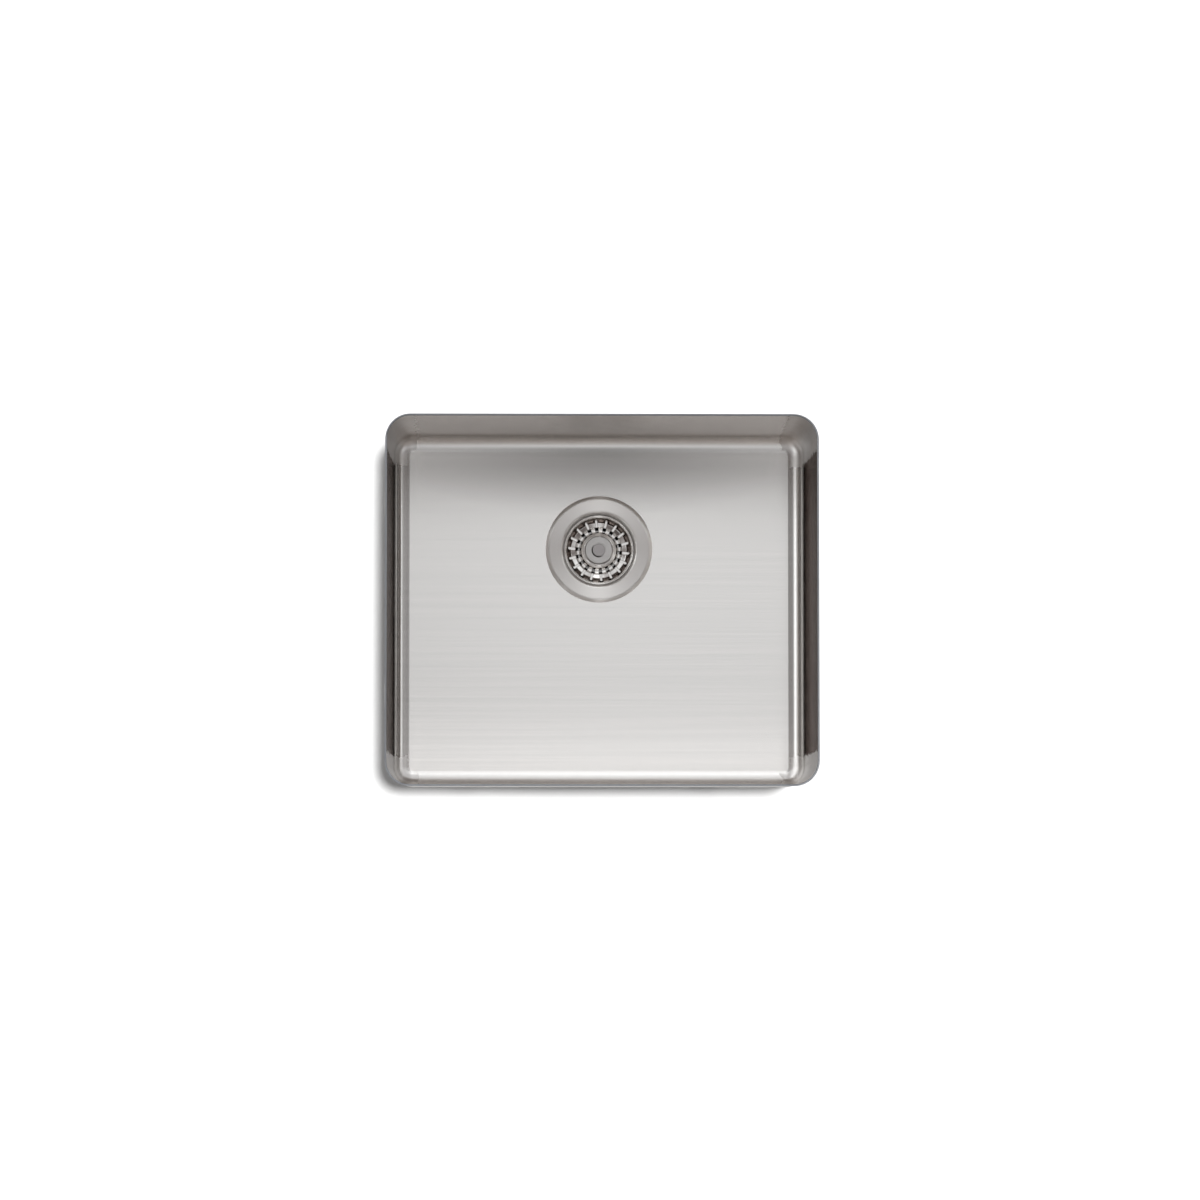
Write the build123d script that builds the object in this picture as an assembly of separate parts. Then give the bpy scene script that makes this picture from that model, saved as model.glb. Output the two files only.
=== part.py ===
from build123d import *
from math import cos, hypot, radians, sin, tan
import os

# Undermount kitchen sink: one pressed and welded bowl with a narrow turned-out lip, hung under a worktop,
# and its basket waste. Millimetres. +X to the right, +Y to the back, +Z up.
# The origin is the middle of the lip's top face, so the underside of the worktop is the plane z = 0.

# ---- Bowl ----
OVERALL_LENGTH = 452.0          # left to right, over the lip
OVERALL_WIDTH = 388.0           # front to back, over the lip
BOWL_DEPTH = 200.0              # top of the lip to the bowl's floor
BOWL_SHEET = 1.2                # thickness of the bowl's steel
LIP_FLAT = 0.6                  # width of the flat top of the lip
LIP_BEND = 1.4                  # radius of the lip's bend, on the upper face
BOWL_DRAFT = 1.0                # lean of the walls, in towards the floor, in degrees
CORNER_RADIUS = 24.5            # upright corners, inside, at the top
FLOOR_RADIUS = 16.8             # bend from walls to floor, inside
DRAIN_BACK = 67.0               # drain centre behind the middle of the bowl

# ---- Fixing pads, welded to the outer walls ----
PAD_LENGTH = 26.0               # along the wall
PAD_HEIGHT = 18.0
PAD_THICKNESS = 1.4
PAD_CORNER = 4.0
PAD_EDGE_CHAMFER = 0.4
PAD_DROP = 9.0                  # lip top to the upper edge of a pad
PAD_HOLE_DIAMETER = 4.2         # tapping size for M5
PAD_WELD_DIAMETER = 4.0         # dimple of each spot weld
PAD_WELD_DEPTH = 0.4
PAD_WELD_REACH = 9.0            # pad centre to a spot weld
PAD_INSET = 67.5                # end of the upright corner to the middle of a pad

# ---- Sound-deadening pads, glued outside ----
DEADENER_THICKNESS = 2.0
DEADENER_CORNER = 12.0
DEADENER_EDGE_CHAMFER = 0.8
DEADENER_DROP = 31.0            # lower edge of the fixing pads to a wall pad
DEADENER_RISE = 29.0            # wall pad to the start of the floor bend
DEADENER_END_MARGIN = 57.5      # wall pad to the start of the upright corners
FLOOR_DEADENER_SIDE_MARGIN = 44.0   # floor pad to the start of the side floor bends
FLOOR_DEADENER_FRONT_MARGIN = 12.0  # floor pad to the start of the front floor bend
FLOOR_DEADENER_WASTE_GAP = 9.0      # floor pad to the flange of the waste body

# ---- Waste flange: ring, neck, ledge, conical seat and grid pressed in one sheet ----
FLANGE_SHEET = 1.0
MOUTH_DIAMETER = 76.8           # bore of the neck
HOLE_CLEARANCE = 5.6            # neck to the edge of the hole in the floor
FLANGE_COVER = 12.5             # ring's reach beyond that hole
FLANGE_PROUD = 2.0              # flat top above the floor
FLANGE_EDGE_WIDTH = 3.4         # sloped outer edge
FLANGE_EDGE_CLEARANCE = 0.1     # foot of the sloped edge to the floor
FLANGE_EDGE_BEND = 5.0
FLANGE_EDGE_EXTRA = 1.5         # sloped edge pressed this deep past its foot, before it is trimmed level
MOUTH_BEND = 3.6
LEDGE_DROP = 12.6               # flat top to the ledge that carries the basket
LEDGE_WIDTH = 2.4
LEDGE_BEND = 0.6
LEDGE_EDGE_BEND = 1.2
SEAT_ANGLE = 40.0               # slope of the stopper's conical seat, from level
SEAT_WIDTH = 9.0                # how far the seat draws the pot in
SEAT_MARGIN = 0.8               # stopper's foot to the seat's foot
SEAT_BEND = 1.2
GRID_DRAW = 1.5                 # seat's foot to the grid's edge
GRID_BEND = 1.5
GRID_RIM = 3.0                  # grid's edge to the slots
GRID_CENTRE_RIM = 1.5           # bolt washer to the slots
GRID_SLOTS = 6
GRID_SPOKE = 4.0

# ---- Seals under and over the floor ----
SEAL_HOLE_MARGIN = 1.0          # seal and gasket, outside the hole in the floor
SEAL_EDGE_MARGIN = 1.6          # seal, inside the sloped edge
GASKET_THICKNESS = 3.0
GASKET_EDGE_MARGIN = 1.0

# ---- Waste body: moulded cup with a threaded outlet, and the cross welded into it ----
BODY_FLANGE_COVER = 12.0        # its flange's reach beyond the hole in the floor
BODY_FLANGE_THICKNESS = 4.0
BODY_WALL = 2.6
BODY_NECK_CLEARANCE = 1.4       # round the waste flange's neck
BODY_CUP_ROOM = 5.0             # below the grid
BODY_FUNNEL_HEIGHT = 15.0
BODY_NECK_HEIGHT = 7.0          # plain shoulder between funnel and thread
BODY_NECK_STEP = 1.0            # shoulder beyond the thread's crests
THREAD_DIAMETER = 47.8          # inch-and-a-half pipe thread, over the crests
THREAD_DEPTH = 1.2
THREAD_PITCH = 2.309
THREAD_TURNS = 8
THREAD_CREST_SHARE = 0.25       # flat crest, as a share of the pitch
THREAD_RUN_OUT = 1.2            # plain end below the last turn
OUTLET_WALL = 2.7               # under the thread
BODY_RIBS = 8                   # stiffening ribs outside, under the flange
BODY_RIB_THICKNESS = 2.4
BODY_RIB_REACH = 9.0
BODY_RIB_HEIGHT = 26.0
HUB_WALL = 2.5
HUB_LENGTH = 20.0
CROSS_ARMS = 3
CROSS_ARM_THICKNESS = 3.0
CROSS_ARM_DROP = 3.0            # hub's top to the arms' top
CROSS_FIT = 0.05                # arms' ends to the cup's wall

# ---- Centre bolt and its brass insert ----
SOCKET_CLEARANCE = 0.4          # plunger stem in the bolt's socket
SOCKET_DEPTH = 9.0
BOLT_WALL = 1.6                 # socket to the outside of the shank
BOLT_HEAD_REACH = 3.5           # head beyond the shank
BOLT_HEAD_HEIGHT = 4.6
BOLT_HEAD_CHAMFER = 0.6
BOLT_LENGTH = 22.0              # under the head
BOLT_FIT = 0.05                 # radial clearance of the bolt in the grid and the insert
BOLT_STOPPER_GAP = 0.4          # head to the stopper's clip, plunger down
BOLT_WASHER_THICKNESS = 1.0
BOLT_WASHER_REACH = 0.8         # washer beyond the head
INSERT_WALL = 2.0
INSERT_LENGTH = 14.0
INSERT_GROOVE = 0.5             # depth of the groove that keys it in the hub
INSERT_GROOVE_WIDTH = 2.0

# ---- Basket ----
BASKET_SHEET = 0.8
RIM_CLEARANCE = 0.7             # rolled rim to the neck
RIM_WIRE = 1.8                  # thickness of the rolled rim
RIM_SEAT_GAP = 0.3              # rolled rim to the ledge
RIM_ROLL = 0.6                  # rolled rim to the wall's inner face
WALL_DROP = 10.9                # rim's middle to the foot of the steep wall
WALL_LEAN = 5.1
WALL_FOOT_BEND = 1.2
SHOULDER_WIDTH = 4.9
SHOULDER_DROP = 1.2
SHOULDER_BEND = 1.5
GROOVE_DROP = 2.5               # ring groove below the shoulder
GROOVE_SLOPE = 1.0              # lean of the groove's sides
GROOVE_WIDTH = 4.0
GROOVE_BEND = 1.5
BOSS_FOOT_RISE = 5.2            # groove to the foot of the boss
BOSS_RISE = 1.8
BOSS_LEAN = 3.5
BOSS_BEND = 1.2
FLUTES = 18                     # pressed flutes, each with a drain hole at its foot
FLUTE_WIDTH = 3.0
FLUTE_BEND = 0.5                # its bottom's round sides
FLUTE_WALL_INSET = 1.9          # wall's top to the flute's outer end, level
FLUTE_FOOT_REACH = 0.3          # flute's inner end past the shoulder's inner edge
FLUTE_DEPTH = 0.4               # flute's bottom below the shoulder's inner edge
FLUTE_START_ANGLE = 95.0        # direction of the first flute, from +X
DRAIN_SLOT = 3.9                # side of each square hole
DRAIN_SLOT_INSET = 0.15         # groove's middle to the holes' middle, outwards

# ---- Stem guide, plunger and knob ----
PLUNGER_TRAVEL = 7.0
STEM_DIAMETER = 6.0
STEM_FIT = 0.06                 # radial running clearance in the guide
STEM_PRESS = 0.02               # radial clearance in what is fixed to the stem
STEM_TIP_REACH = 5.0            # stem inside the bolt's socket
STEM_TIP_CHAMFER = 0.8
STEM_COLLAR_REACH = 2.0         # collar above the stopper plate
STEM_COLLAR_HEIGHT = 1.0
GUIDE_WALL = 1.5
GUIDE_FIT = 0.05                # guide in the basket's hole
GUIDE_FLANGE_REACH = 1.6
GUIDE_FLANGE_THICKNESS = 0.8
GUIDE_LENGTH = 5.5              # below the top of the boss
KNOB_MARGIN = 0.5               # edge of the boss to the knob
KNOB_TOP_DROP = 12.0            # flange's flat top to the knob's top
KNOB_SEAT_GAP = 0.3             # knob to boss, plunger down
KNOB_BEVEL = 1.1
KNOB_WALL = 2.6
KNOB_WAIST_DEPTH = 0.9          # finger groove round its side
KNOB_WAIST_RADIUS = 2.2
KNOB_SOCKET_WALL = 2.5          # inside the knob, round the stem
DISC_DIAMETER = 13.4
DISC_GAP = 1.1                  # groove round the disc
DISC_RECESS = 1.0
DISC_PROUD = 0.3
DISC_BEVEL = 0.3
STOPPER_BASKET_GAP = 0.4        # stopper to basket, plunger up
STOPPER_PLATE_THICKNESS = 1.0
STOPPER_PLATE_DIAMETER = 46.0
STOPPER_SEAL_THICKNESS = 4.0
STOPPER_SEAT_GAP = 0.3          # seal to the conical seat, plunger down
STOPPER_WASHER_THICKNESS = 1.0
STOPPER_WASHER_REACH = 7.0      # beyond the stem
CLIP_THICKNESS = 0.8
CLIP_REACH = 3.5                # beyond the stem
CLIP_GROOVE = 0.6               # depth of its groove in the stem
CLIP_MOUTH = 4.0                # gap that lets it slip over the stem
STEM_RING_WIRE = 1.2
STEM_RING_GAP = 0.3             # ring to the socket's wall
STEM_RING_RISE = 2.4            # ring above the stem's tip

# ---- Radii that follow, from the outside in ----
INNER_LENGTH = OVERALL_LENGTH - 2 * (LIP_FLAT + LIP_BEND)
INNER_WIDTH = OVERALL_WIDTH - 2 * (LIP_FLAT + LIP_BEND)
FLOOR_INSET = BOWL_DEPTH * tan(radians(BOWL_DRAFT)) + FLOOR_RADIUS * tan(radians((90 - BOWL_DRAFT) / 2))
MOUTH_R = MOUTH_DIAMETER / 2
HOLE_R = MOUTH_R + FLANGE_SHEET + HOLE_CLEARANCE
FLANGE_R = HOLE_R + FLANGE_COVER
POT_R = MOUTH_R - LEDGE_WIDTH
SEAT_FOOT_R = POT_R - SEAT_WIDTH
GRID_R = SEAT_FOOT_R - GRID_DRAW
BODY_R = HOLE_R + BODY_FLANGE_COVER
BODY_BORE_R = MOUTH_R + FLANGE_SHEET + BODY_NECK_CLEARANCE
THREAD_R = THREAD_DIAMETER / 2
OUTLET_R = THREAD_R - THREAD_DEPTH - OUTLET_WALL
RIM_R = MOUTH_R - RIM_CLEARANCE - RIM_WIRE / 2
WALL_TOP_R = RIM_R - RIM_WIRE / 2 - RIM_ROLL
WALL_FOOT_R = WALL_TOP_R - WALL_LEAN
SHOULDER_R = WALL_FOOT_R - SHOULDER_WIDTH
GROOVE_OUTER_R = SHOULDER_R - GROOVE_SLOPE
GROOVE_INNER_R = GROOVE_OUTER_R - GROOVE_WIDTH
BOSS_FOOT_R = GROOVE_INNER_R - GROOVE_SLOPE
BOSS_TOP_R = BOSS_FOOT_R - BOSS_LEAN
KNOB_R = BOSS_TOP_R - KNOB_MARGIN
STEM_R = STEM_DIAMETER / 2
GUIDE_BORE_R = STEM_R + STEM_FIT
GUIDE_R = GUIDE_BORE_R + GUIDE_WALL
SOCKET_R = STEM_R + SOCKET_CLEARANCE
SHANK_R = SOCKET_R + BOLT_WALL
HEAD_R = SHANK_R + BOLT_HEAD_REACH
BOLT_WASHER_R = HEAD_R + BOLT_WASHER_REACH
INSERT_R = SHANK_R + INSERT_WALL
HUB_R = INSERT_R + HUB_WALL

# ---- Levels that follow, from the top down ----
FLOOR_Z = -BOWL_DEPTH
FLOOR_UNDER_Z = FLOOR_Z - BOWL_SHEET
FLANGE_TOP_Z = FLOOR_Z + FLANGE_PROUD
GASKET_Z = FLOOR_UNDER_Z - GASKET_THICKNESS
LEDGE_Z = FLANGE_TOP_Z - LEDGE_DROP
RIM_Z = LEDGE_Z + RIM_SEAT_GAP + RIM_WIRE / 2
WALL_FOOT_Z = RIM_Z - WALL_DROP
SHOULDER_Z = WALL_FOOT_Z - SHOULDER_DROP
GROOVE_Z = SHOULDER_Z - GROOVE_DROP
BOSS_FOOT_Z = GROOVE_Z + BOSS_FOOT_RISE
BOSS_TOP_Z = BOSS_FOOT_Z + BOSS_RISE
KNOB_FOOT_Z = BOSS_TOP_Z + KNOB_SEAT_GAP
KNOB_TOP_Z = FLANGE_TOP_Z - KNOB_TOP_DROP
PLATE_TOP_Z = GROOVE_Z - BASKET_SHEET - PLUNGER_TRAVEL - STOPPER_BASKET_GAP
SEAL_TOP_Z = PLATE_TOP_Z - STOPPER_PLATE_THICKNESS
SEAL_FOOT_Z = SEAL_TOP_Z - STOPPER_SEAL_THICKNESS
CLIP_TOP_Z = SEAL_FOOT_Z - STOPPER_WASHER_THICKNESS
CLIP_FOOT_Z = CLIP_TOP_Z - CLIP_THICKNESS
SEAT_FOOT_Z = SEAL_FOOT_Z - SEAT_MARGIN
SEAT_TOP_Z = SEAT_FOOT_Z + SEAT_WIDTH * tan(radians(SEAT_ANGLE))
HEAD_TOP_Z = CLIP_FOOT_Z - BOLT_STOPPER_GAP
HEAD_FOOT_Z = HEAD_TOP_Z - BOLT_HEAD_HEIGHT
GRID_Z = HEAD_FOOT_Z - BOLT_WASHER_THICKNESS
HUB_TOP_Z = GRID_Z - FLANGE_SHEET
HUB_FOOT_Z = HUB_TOP_Z - HUB_LENGTH
CUP_FOOT_Z = HUB_TOP_Z - BODY_CUP_ROOM
FUNNEL_FOOT_Z = CUP_FOOT_Z - BODY_FUNNEL_HEIGHT
THREAD_TOP_Z = FUNNEL_FOOT_Z - BODY_NECK_HEIGHT
OUTLET_Z = THREAD_TOP_Z - THREAD_TURNS * THREAD_PITCH - THREAD_RUN_OUT
STEM_TIP_Z = HEAD_TOP_Z - STEM_TIP_REACH


# ---- Helpers ----
def moved_outline(points, distance):
    """The same open outline moved sideways, to the left of its run, with its corners kept sharp."""
    normals = []
    for (x0, y0), (x1, y1) in zip(points, points[1:]):
        run = hypot(x1 - x0, y1 - y0)
        normals.append(((y0 - y1) / run, (x1 - x0) / run))
    moved = []
    for index, (x, y) in enumerate(points):
        ax, ay = normals[max(index - 1, 0)]
        bx, by = normals[min(index, len(normals) - 1)]
        reach = distance / (1 + ax * bx + ay * by)
        moved.append((x + (ax + bx) * reach, y + (ay + by) * reach))
    return moved


def bend_radii(points, radii, thickness):
    """Bend radii of the moved outline: a left turn gets tighter by the sheet, a right turn wider."""
    moved = []
    for (x0, y0), (x1, y1), (x2, y2), radius in zip(points, points[1:], points[2:], radii):
        left_turn = (x1 - x0) * (y2 - y1) - (y1 - y0) * (x2 - x1) > 0
        moved.append(max(radius - thickness, 0) if left_turn else radius + thickness)
    return moved


def sheet_ring(points, radii, thickness):
    """A round pressing: its section's upper face from the outside in, as (radius, height) points, turned."""
    upper = FilletPolyline(*points, radius=radii)
    lower_points = moved_outline(points, thickness)
    lower = FilletPolyline(*lower_points, radius=bend_radii(points, radii, thickness))
    ends = [Line(points[0], lower_points[0]), Line(points[-1], lower_points[-1])]
    section = make_face(upper.edges() + lower.edges() + [end.edge() for end in ends])
    return revolve(Plane.XZ * section, Axis.Z)


def turned(points):
    """A solid of revolution about the upright axis, from a closed outline of (radius, height) points."""
    return revolve(Plane.XZ * make_face(Polyline(*points, close=True).edges()), Axis.Z)


def web(points, thickness):
    """A flat web that stands on the upright axis, from a closed outline of (radius, height) points."""
    outline = make_face(Polyline(*points, close=True).edges())
    return extrude(Plane.XZ * outline, thickness / 2, both=True)


def ring(inner_radius, outer_radius, low, high):
    """A flat ring or, with no inner radius, a disc, between two heights."""
    blank = Pos(0, 0, low) * extrude(Circle(outer_radius), high - low)
    if inner_radius > 0:
        blank -= Pos(0, 0, low) * extrude(Circle(inner_radius), high - low)
    return blank


def around(count, start=0.0):
    """Evenly spaced turns about the upright axis."""
    return [Rot(0, 0, start + index * 360 / count) for index in range(count)]


def save(name, shape):
    """Writes one node."""
    solids = shape.solids()
    body = solids[0] if len(solids) == 1 else Compound(children=list(solids))
    body.label = name
    export_step(body, os.path.join("parts", name + ".step"))
    print(name, len(solids), "solid(s)", round(sum(solid.volume for solid in solids), 1), "mm3")


def save_at_drain(name, shape):
    """Writes a node that is modelled on its own axis and stands at the drain."""
    save(name, Pos(0, DRAIN_BACK, 0) * shape)


# ---- Bowl and what is fixed to its outside ----
def level_edges(shape, height):
    """Every edge that lies level at a height."""
    near = 0.01
    return [edge for edge in shape.edges() if abs(edge.bounding_box().min.Z - height) < near
            and abs(edge.bounding_box().max.Z - height) < near]


def within(edges, half_length, half_width):
    """Those edges that lie on or inside a rectangle about the origin."""
    near = 0.01
    return [edge for edge in edges if abs(edge.bounding_box().max.X) < half_length + near
            and abs(edge.bounding_box().min.X) < half_length + near
            and abs(edge.bounding_box().max.Y) < half_width + near
            and abs(edge.bounding_box().min.Y) < half_width + near]


def bowl_block(grow):
    """The bowl's hollow or, grown by the sheet's thickness, its outside, without the lip."""
    outline = RectangleRounded(INNER_LENGTH + 2 * grow, INNER_WIDTH + 2 * grow, CORNER_RADIUS + grow)
    block = extrude(outline, -(BOWL_DEPTH + grow), taper=BOWL_DRAFT)
    return fillet(level_edges(block, -(BOWL_DEPTH + grow)), FLOOR_RADIUS + grow)


def make_bowl():
    """Bowl in one sheet: lip bent outwards at the top, hole for the waste in the floor."""
    reach = LIP_FLAT + LIP_BEND
    lip = extrude(RectangleRounded(OVERALL_LENGTH, OVERALL_WIDTH, CORNER_RADIUS + reach), -BOWL_SHEET)
    shell = lip + bowl_block(BOWL_SHEET)
    outer = (INNER_LENGTH / 2 + BOWL_SHEET, INNER_WIDTH / 2 + BOWL_SHEET)
    shell = fillet(within(level_edges(shell, -BOWL_SHEET), *outer), LIP_BEND - BOWL_SHEET)
    shell -= bowl_block(0)
    shell = fillet(within(level_edges(shell, 0), INNER_LENGTH / 2, INNER_WIDTH / 2), LIP_BEND)
    return shell - Pos(0, DRAIN_BACK, 0) * ring(0, HOLE_R, FLOOR_UNDER_Z, FLOOR_Z)


def wall_planes():
    """A plane on each outer wall by name, facing out with its own X along the wall, and that wall's flat run."""
    side = INNER_LENGTH / 2 + BOWL_SHEET
    end = INNER_WIDTH / 2 + BOWL_SHEET
    lengthways = INNER_LENGTH - 2 * CORNER_RADIUS
    sideways = INNER_WIDTH - 2 * CORNER_RADIUS
    out = cos(radians(BOWL_DRAFT))
    down = -sin(radians(BOWL_DRAFT))
    return {
        "left": (Plane((-side, 0, 0), x_dir=(0, -1, 0), z_dir=(-out, 0, down)), sideways),
        "right": (Plane((side, 0, 0), x_dir=(0, 1, 0), z_dir=(out, 0, down)), sideways),
        "front": (Plane((0, -end, 0), x_dir=(1, 0, 0), z_dir=(0, -out, down)), lengthways),
        "back": (Plane((0, end, 0), x_dir=(-1, 0, 0), z_dir=(0, out, down)), lengthways),
    }


def plate(length, height, thickness, corner, edge_chamfer):
    """A plate lying on a face: rounded corners, and its outer edge broken."""
    blank = extrude(RectangleRounded(length, height, corner), thickness)
    return chamfer(blank.faces().sort_by(Axis.Z)[-1].edges(), edge_chamfer)


def make_fixing_pad():
    """Pad tapped for the installer's worktop clip, with a spot weld each side of the hole."""
    pad = plate(PAD_LENGTH, PAD_HEIGHT, PAD_THICKNESS, PAD_CORNER, PAD_EDGE_CHAMFER)
    pad -= extrude(Circle(PAD_HOLE_DIAMETER / 2), PAD_THICKNESS)
    weld = ring(0, PAD_WELD_DIAMETER / 2, PAD_THICKNESS - PAD_WELD_DEPTH, PAD_THICKNESS)
    for side in (-1, 1):
        pad -= Pos(side * PAD_WELD_REACH, 0, 0) * weld
    return pad


def save_fixing_pads():
    """Two pads on each wall, close under the lip."""
    height = -(PAD_DROP + PAD_HEIGHT / 2)
    for wall, (plane, run) in wall_planes().items():
        for number, side in ((1, -1), (2, 1)):
            along = side * (run / 2 - PAD_INSET)
            save(f"fixing_pad_{wall}_{number}", plane * Pos(along, height, 0) * make_fixing_pad())


def save_deadeners():
    """Sound-deadening pads on the left, right and back walls and under the floor."""
    top = PAD_DROP + PAD_HEIGHT + DEADENER_DROP
    tall = BOWL_DEPTH - FLOOR_RADIUS - DEADENER_RISE - top
    walls = wall_planes()
    for wall in ("left", "right", "back"):
        plane, run = walls[wall]
        pad = plate(run - 2 * DEADENER_END_MARGIN, tall, DEADENER_THICKNESS, DEADENER_CORNER,
                    DEADENER_EDGE_CHAMFER)
        save(f"sound_pad_{wall}", plane * Pos(0, -(top + tall / 2), 0) * pad)
    length = INNER_LENGTH - 2 * (FLOOR_INSET + FLOOR_DEADENER_SIDE_MARGIN)
    front = -INNER_WIDTH / 2 + FLOOR_INSET + FLOOR_DEADENER_FRONT_MARGIN
    back = DRAIN_BACK - BODY_R - FLOOR_DEADENER_WASTE_GAP
    under = Plane((0, (front + back) / 2, FLOOR_UNDER_Z), x_dir=(1, 0, 0), z_dir=(0, 0, -1))
    pad = plate(length, back - front, DEADENER_THICKNESS, DEADENER_CORNER, DEADENER_EDGE_CHAMFER)
    save("sound_pad_floor", under * pad)


# ---- Waste ----
def make_waste_flange():
    """Ring on the floor, neck with the basket's ledge, conical seat and grid, pressed from one sheet."""
    foot_z = FLOOR_Z + FLANGE_EDGE_CLEARANCE
    over = FLANGE_EDGE_EXTRA / (FLANGE_TOP_Z - foot_z)
    points = [
        (FLANGE_R + over * FLANGE_EDGE_WIDTH, foot_z - over * (FLANGE_TOP_Z - foot_z)),
        (FLANGE_R - FLANGE_EDGE_WIDTH, FLANGE_TOP_Z),
        (MOUTH_R, FLANGE_TOP_Z),
        (MOUTH_R, LEDGE_Z),
        (POT_R, LEDGE_Z),
        (POT_R, SEAT_TOP_Z),
        (SEAT_FOOT_R, SEAT_FOOT_Z),
        (GRID_R, GRID_Z),
        (SHANK_R + BOLT_FIT, GRID_Z),
    ]
    radii = [FLANGE_EDGE_BEND, MOUTH_BEND, LEDGE_BEND, LEDGE_EDGE_BEND, SEAT_BEND, SEAT_BEND, GRID_BEND]
    flange = sheet_ring(points, radii, FLANGE_SHEET)
    flange -= ring(HOLE_R, FLANGE_R + FLANGE_COVER, foot_z - FLANGE_COVER, foot_z)
    slots = Circle(GRID_R - GRID_RIM) - Circle(BOLT_WASHER_R + GRID_CENTRE_RIM)
    for turn in around(GRID_SLOTS):
        slots -= turn * Pos(GRID_R / 2, 0) * Rectangle(GRID_R, GRID_SPOKE)
    return flange - Pos(0, 0, GRID_Z - FLANGE_SHEET) * extrude(slots, FLANGE_SHEET)


def make_flange_seal():
    """Thin seal between the floor and the ring."""
    edge = FLANGE_R - FLANGE_EDGE_WIDTH - SEAL_EDGE_MARGIN
    return ring(HOLE_R + SEAL_HOLE_MARGIN, edge, FLOOR_Z, FLANGE_TOP_Z - FLANGE_SHEET)


def make_body_gasket():
    """Rubber gasket between the floor's underside and the waste body."""
    return ring(HOLE_R + SEAL_HOLE_MARGIN, BODY_R - GASKET_EDGE_MARGIN, GASKET_Z, FLOOR_UNDER_Z)


def thread_outline():
    """Outer side of the threaded spigot's section, from its top down: one tooth to a pitch."""
    root = THREAD_R - THREAD_DEPTH
    flank = THREAD_PITCH * (1 - THREAD_CREST_SHARE) / 2
    points = []
    for turn in range(THREAD_TURNS):
        z = THREAD_TOP_Z - turn * THREAD_PITCH
        points += [(root, z), (THREAD_R, z - flank), (THREAD_R, z + flank - THREAD_PITCH)]
    return points + [(root, THREAD_TOP_Z - THREAD_TURNS * THREAD_PITCH), (root, OUTLET_Z)]


def cup_room(fit):
    """Room inside the cup and the funnel, less a fit, as an outline of (radius, height) points."""
    return [(0, GASKET_Z), (BODY_BORE_R - fit, GASKET_Z), (BODY_BORE_R - fit, CUP_FOOT_Z),
            (OUTLET_R - fit, FUNNEL_FOOT_Z), (0, FUNNEL_FOOT_Z)]


def make_waste_body():
    """Moulded cup under the floor, funnel, threaded outlet, and stiffening ribs outside."""
    wall = BODY_BORE_R + BODY_WALL
    shoulder = THREAD_R + BODY_NECK_STEP
    flange_low = GASKET_Z - BODY_FLANGE_THICKNESS
    outline = [(BODY_BORE_R, GASKET_Z), (BODY_R, GASKET_Z), (BODY_R, flange_low), (wall, flange_low),
               (wall, CUP_FOOT_Z), (shoulder, FUNNEL_FOOT_Z), (shoulder, THREAD_TOP_Z)]
    outline += thread_outline()
    outline += [(OUTLET_R, OUTLET_Z), (OUTLET_R, FUNNEL_FOOT_Z), (BODY_BORE_R, CUP_FOOT_Z)]
    body = turned(outline)
    inside = wall - BODY_WALL / 2
    rib_foot = flange_low - BODY_RIB_HEIGHT
    rib = web([(inside, flange_low), (wall + BODY_RIB_REACH, flange_low), (wall, rib_foot), (inside, rib_foot)],
              BODY_RIB_THICKNESS)
    for turn in around(BODY_RIBS, 180 / BODY_RIBS):
        body += turn * rib
    return body


def make_bolt_cross():
    """Hub for the brass insert, on three arms whose ends are welded to the wall of the cup and the funnel."""
    arm_top = HUB_TOP_Z - CROSS_ARM_DROP
    arm = web([(0, arm_top), (BODY_BORE_R, arm_top), (BODY_BORE_R, CUP_FOOT_Z), (OUTLET_R, FUNNEL_FOOT_Z),
               (HUB_R, HUB_FOOT_Z), (0, HUB_FOOT_Z)], CROSS_ARM_THICKNESS)
    cross = ring(0, HUB_R, HUB_FOOT_Z, HUB_TOP_Z)
    for turn in around(CROSS_ARMS, 90):
        cross += turn * arm
    cross &= turned(cup_room(CROSS_FIT))
    cross -= insert_blank()
    return cross - ring(0, SHANK_R + BOLT_FIT, HUB_FOOT_Z, HUB_TOP_Z)


def insert_blank():
    """Outside of the brass insert: a round bush with a groove that keys it in the moulded hub."""
    middle = HUB_TOP_Z - INSERT_LENGTH / 2
    groove = ring(INSERT_R - INSERT_GROOVE, INSERT_R + INSERT_GROOVE, middle - INSERT_GROOVE_WIDTH / 2,
                  middle + INSERT_GROOVE_WIDTH / 2)
    return ring(0, INSERT_R, HUB_TOP_Z - INSERT_LENGTH, HUB_TOP_Z) - groove


def make_bolt_insert():
    """Brass insert, moulded into the hub, that takes the centre bolt."""
    return insert_blank() - ring(0, SHANK_R + BOLT_FIT, HUB_TOP_Z - INSERT_LENGTH, HUB_TOP_Z)


def make_centre_bolt():
    """Bolt that draws ring and body together; its head is bored for the end of the plunger stem."""
    head = ring(0, HEAD_R, HEAD_FOOT_Z, HEAD_TOP_Z)
    head = chamfer(level_edges(head, HEAD_TOP_Z), BOLT_HEAD_CHAMFER)
    bolt = head + ring(0, SHANK_R, HEAD_FOOT_Z - BOLT_LENGTH, HEAD_FOOT_Z)
    bolt = chamfer(level_edges(bolt, HEAD_FOOT_Z - BOLT_LENGTH), BOLT_HEAD_CHAMFER)
    return bolt - ring(0, SOCKET_R, HEAD_TOP_Z - SOCKET_DEPTH, HEAD_TOP_Z)


def make_bolt_washer():
    """Sealing washer under the bolt's head."""
    return ring(SHANK_R + BOLT_FIT, BOLT_WASHER_R, GRID_Z, HEAD_FOOT_Z)


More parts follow.
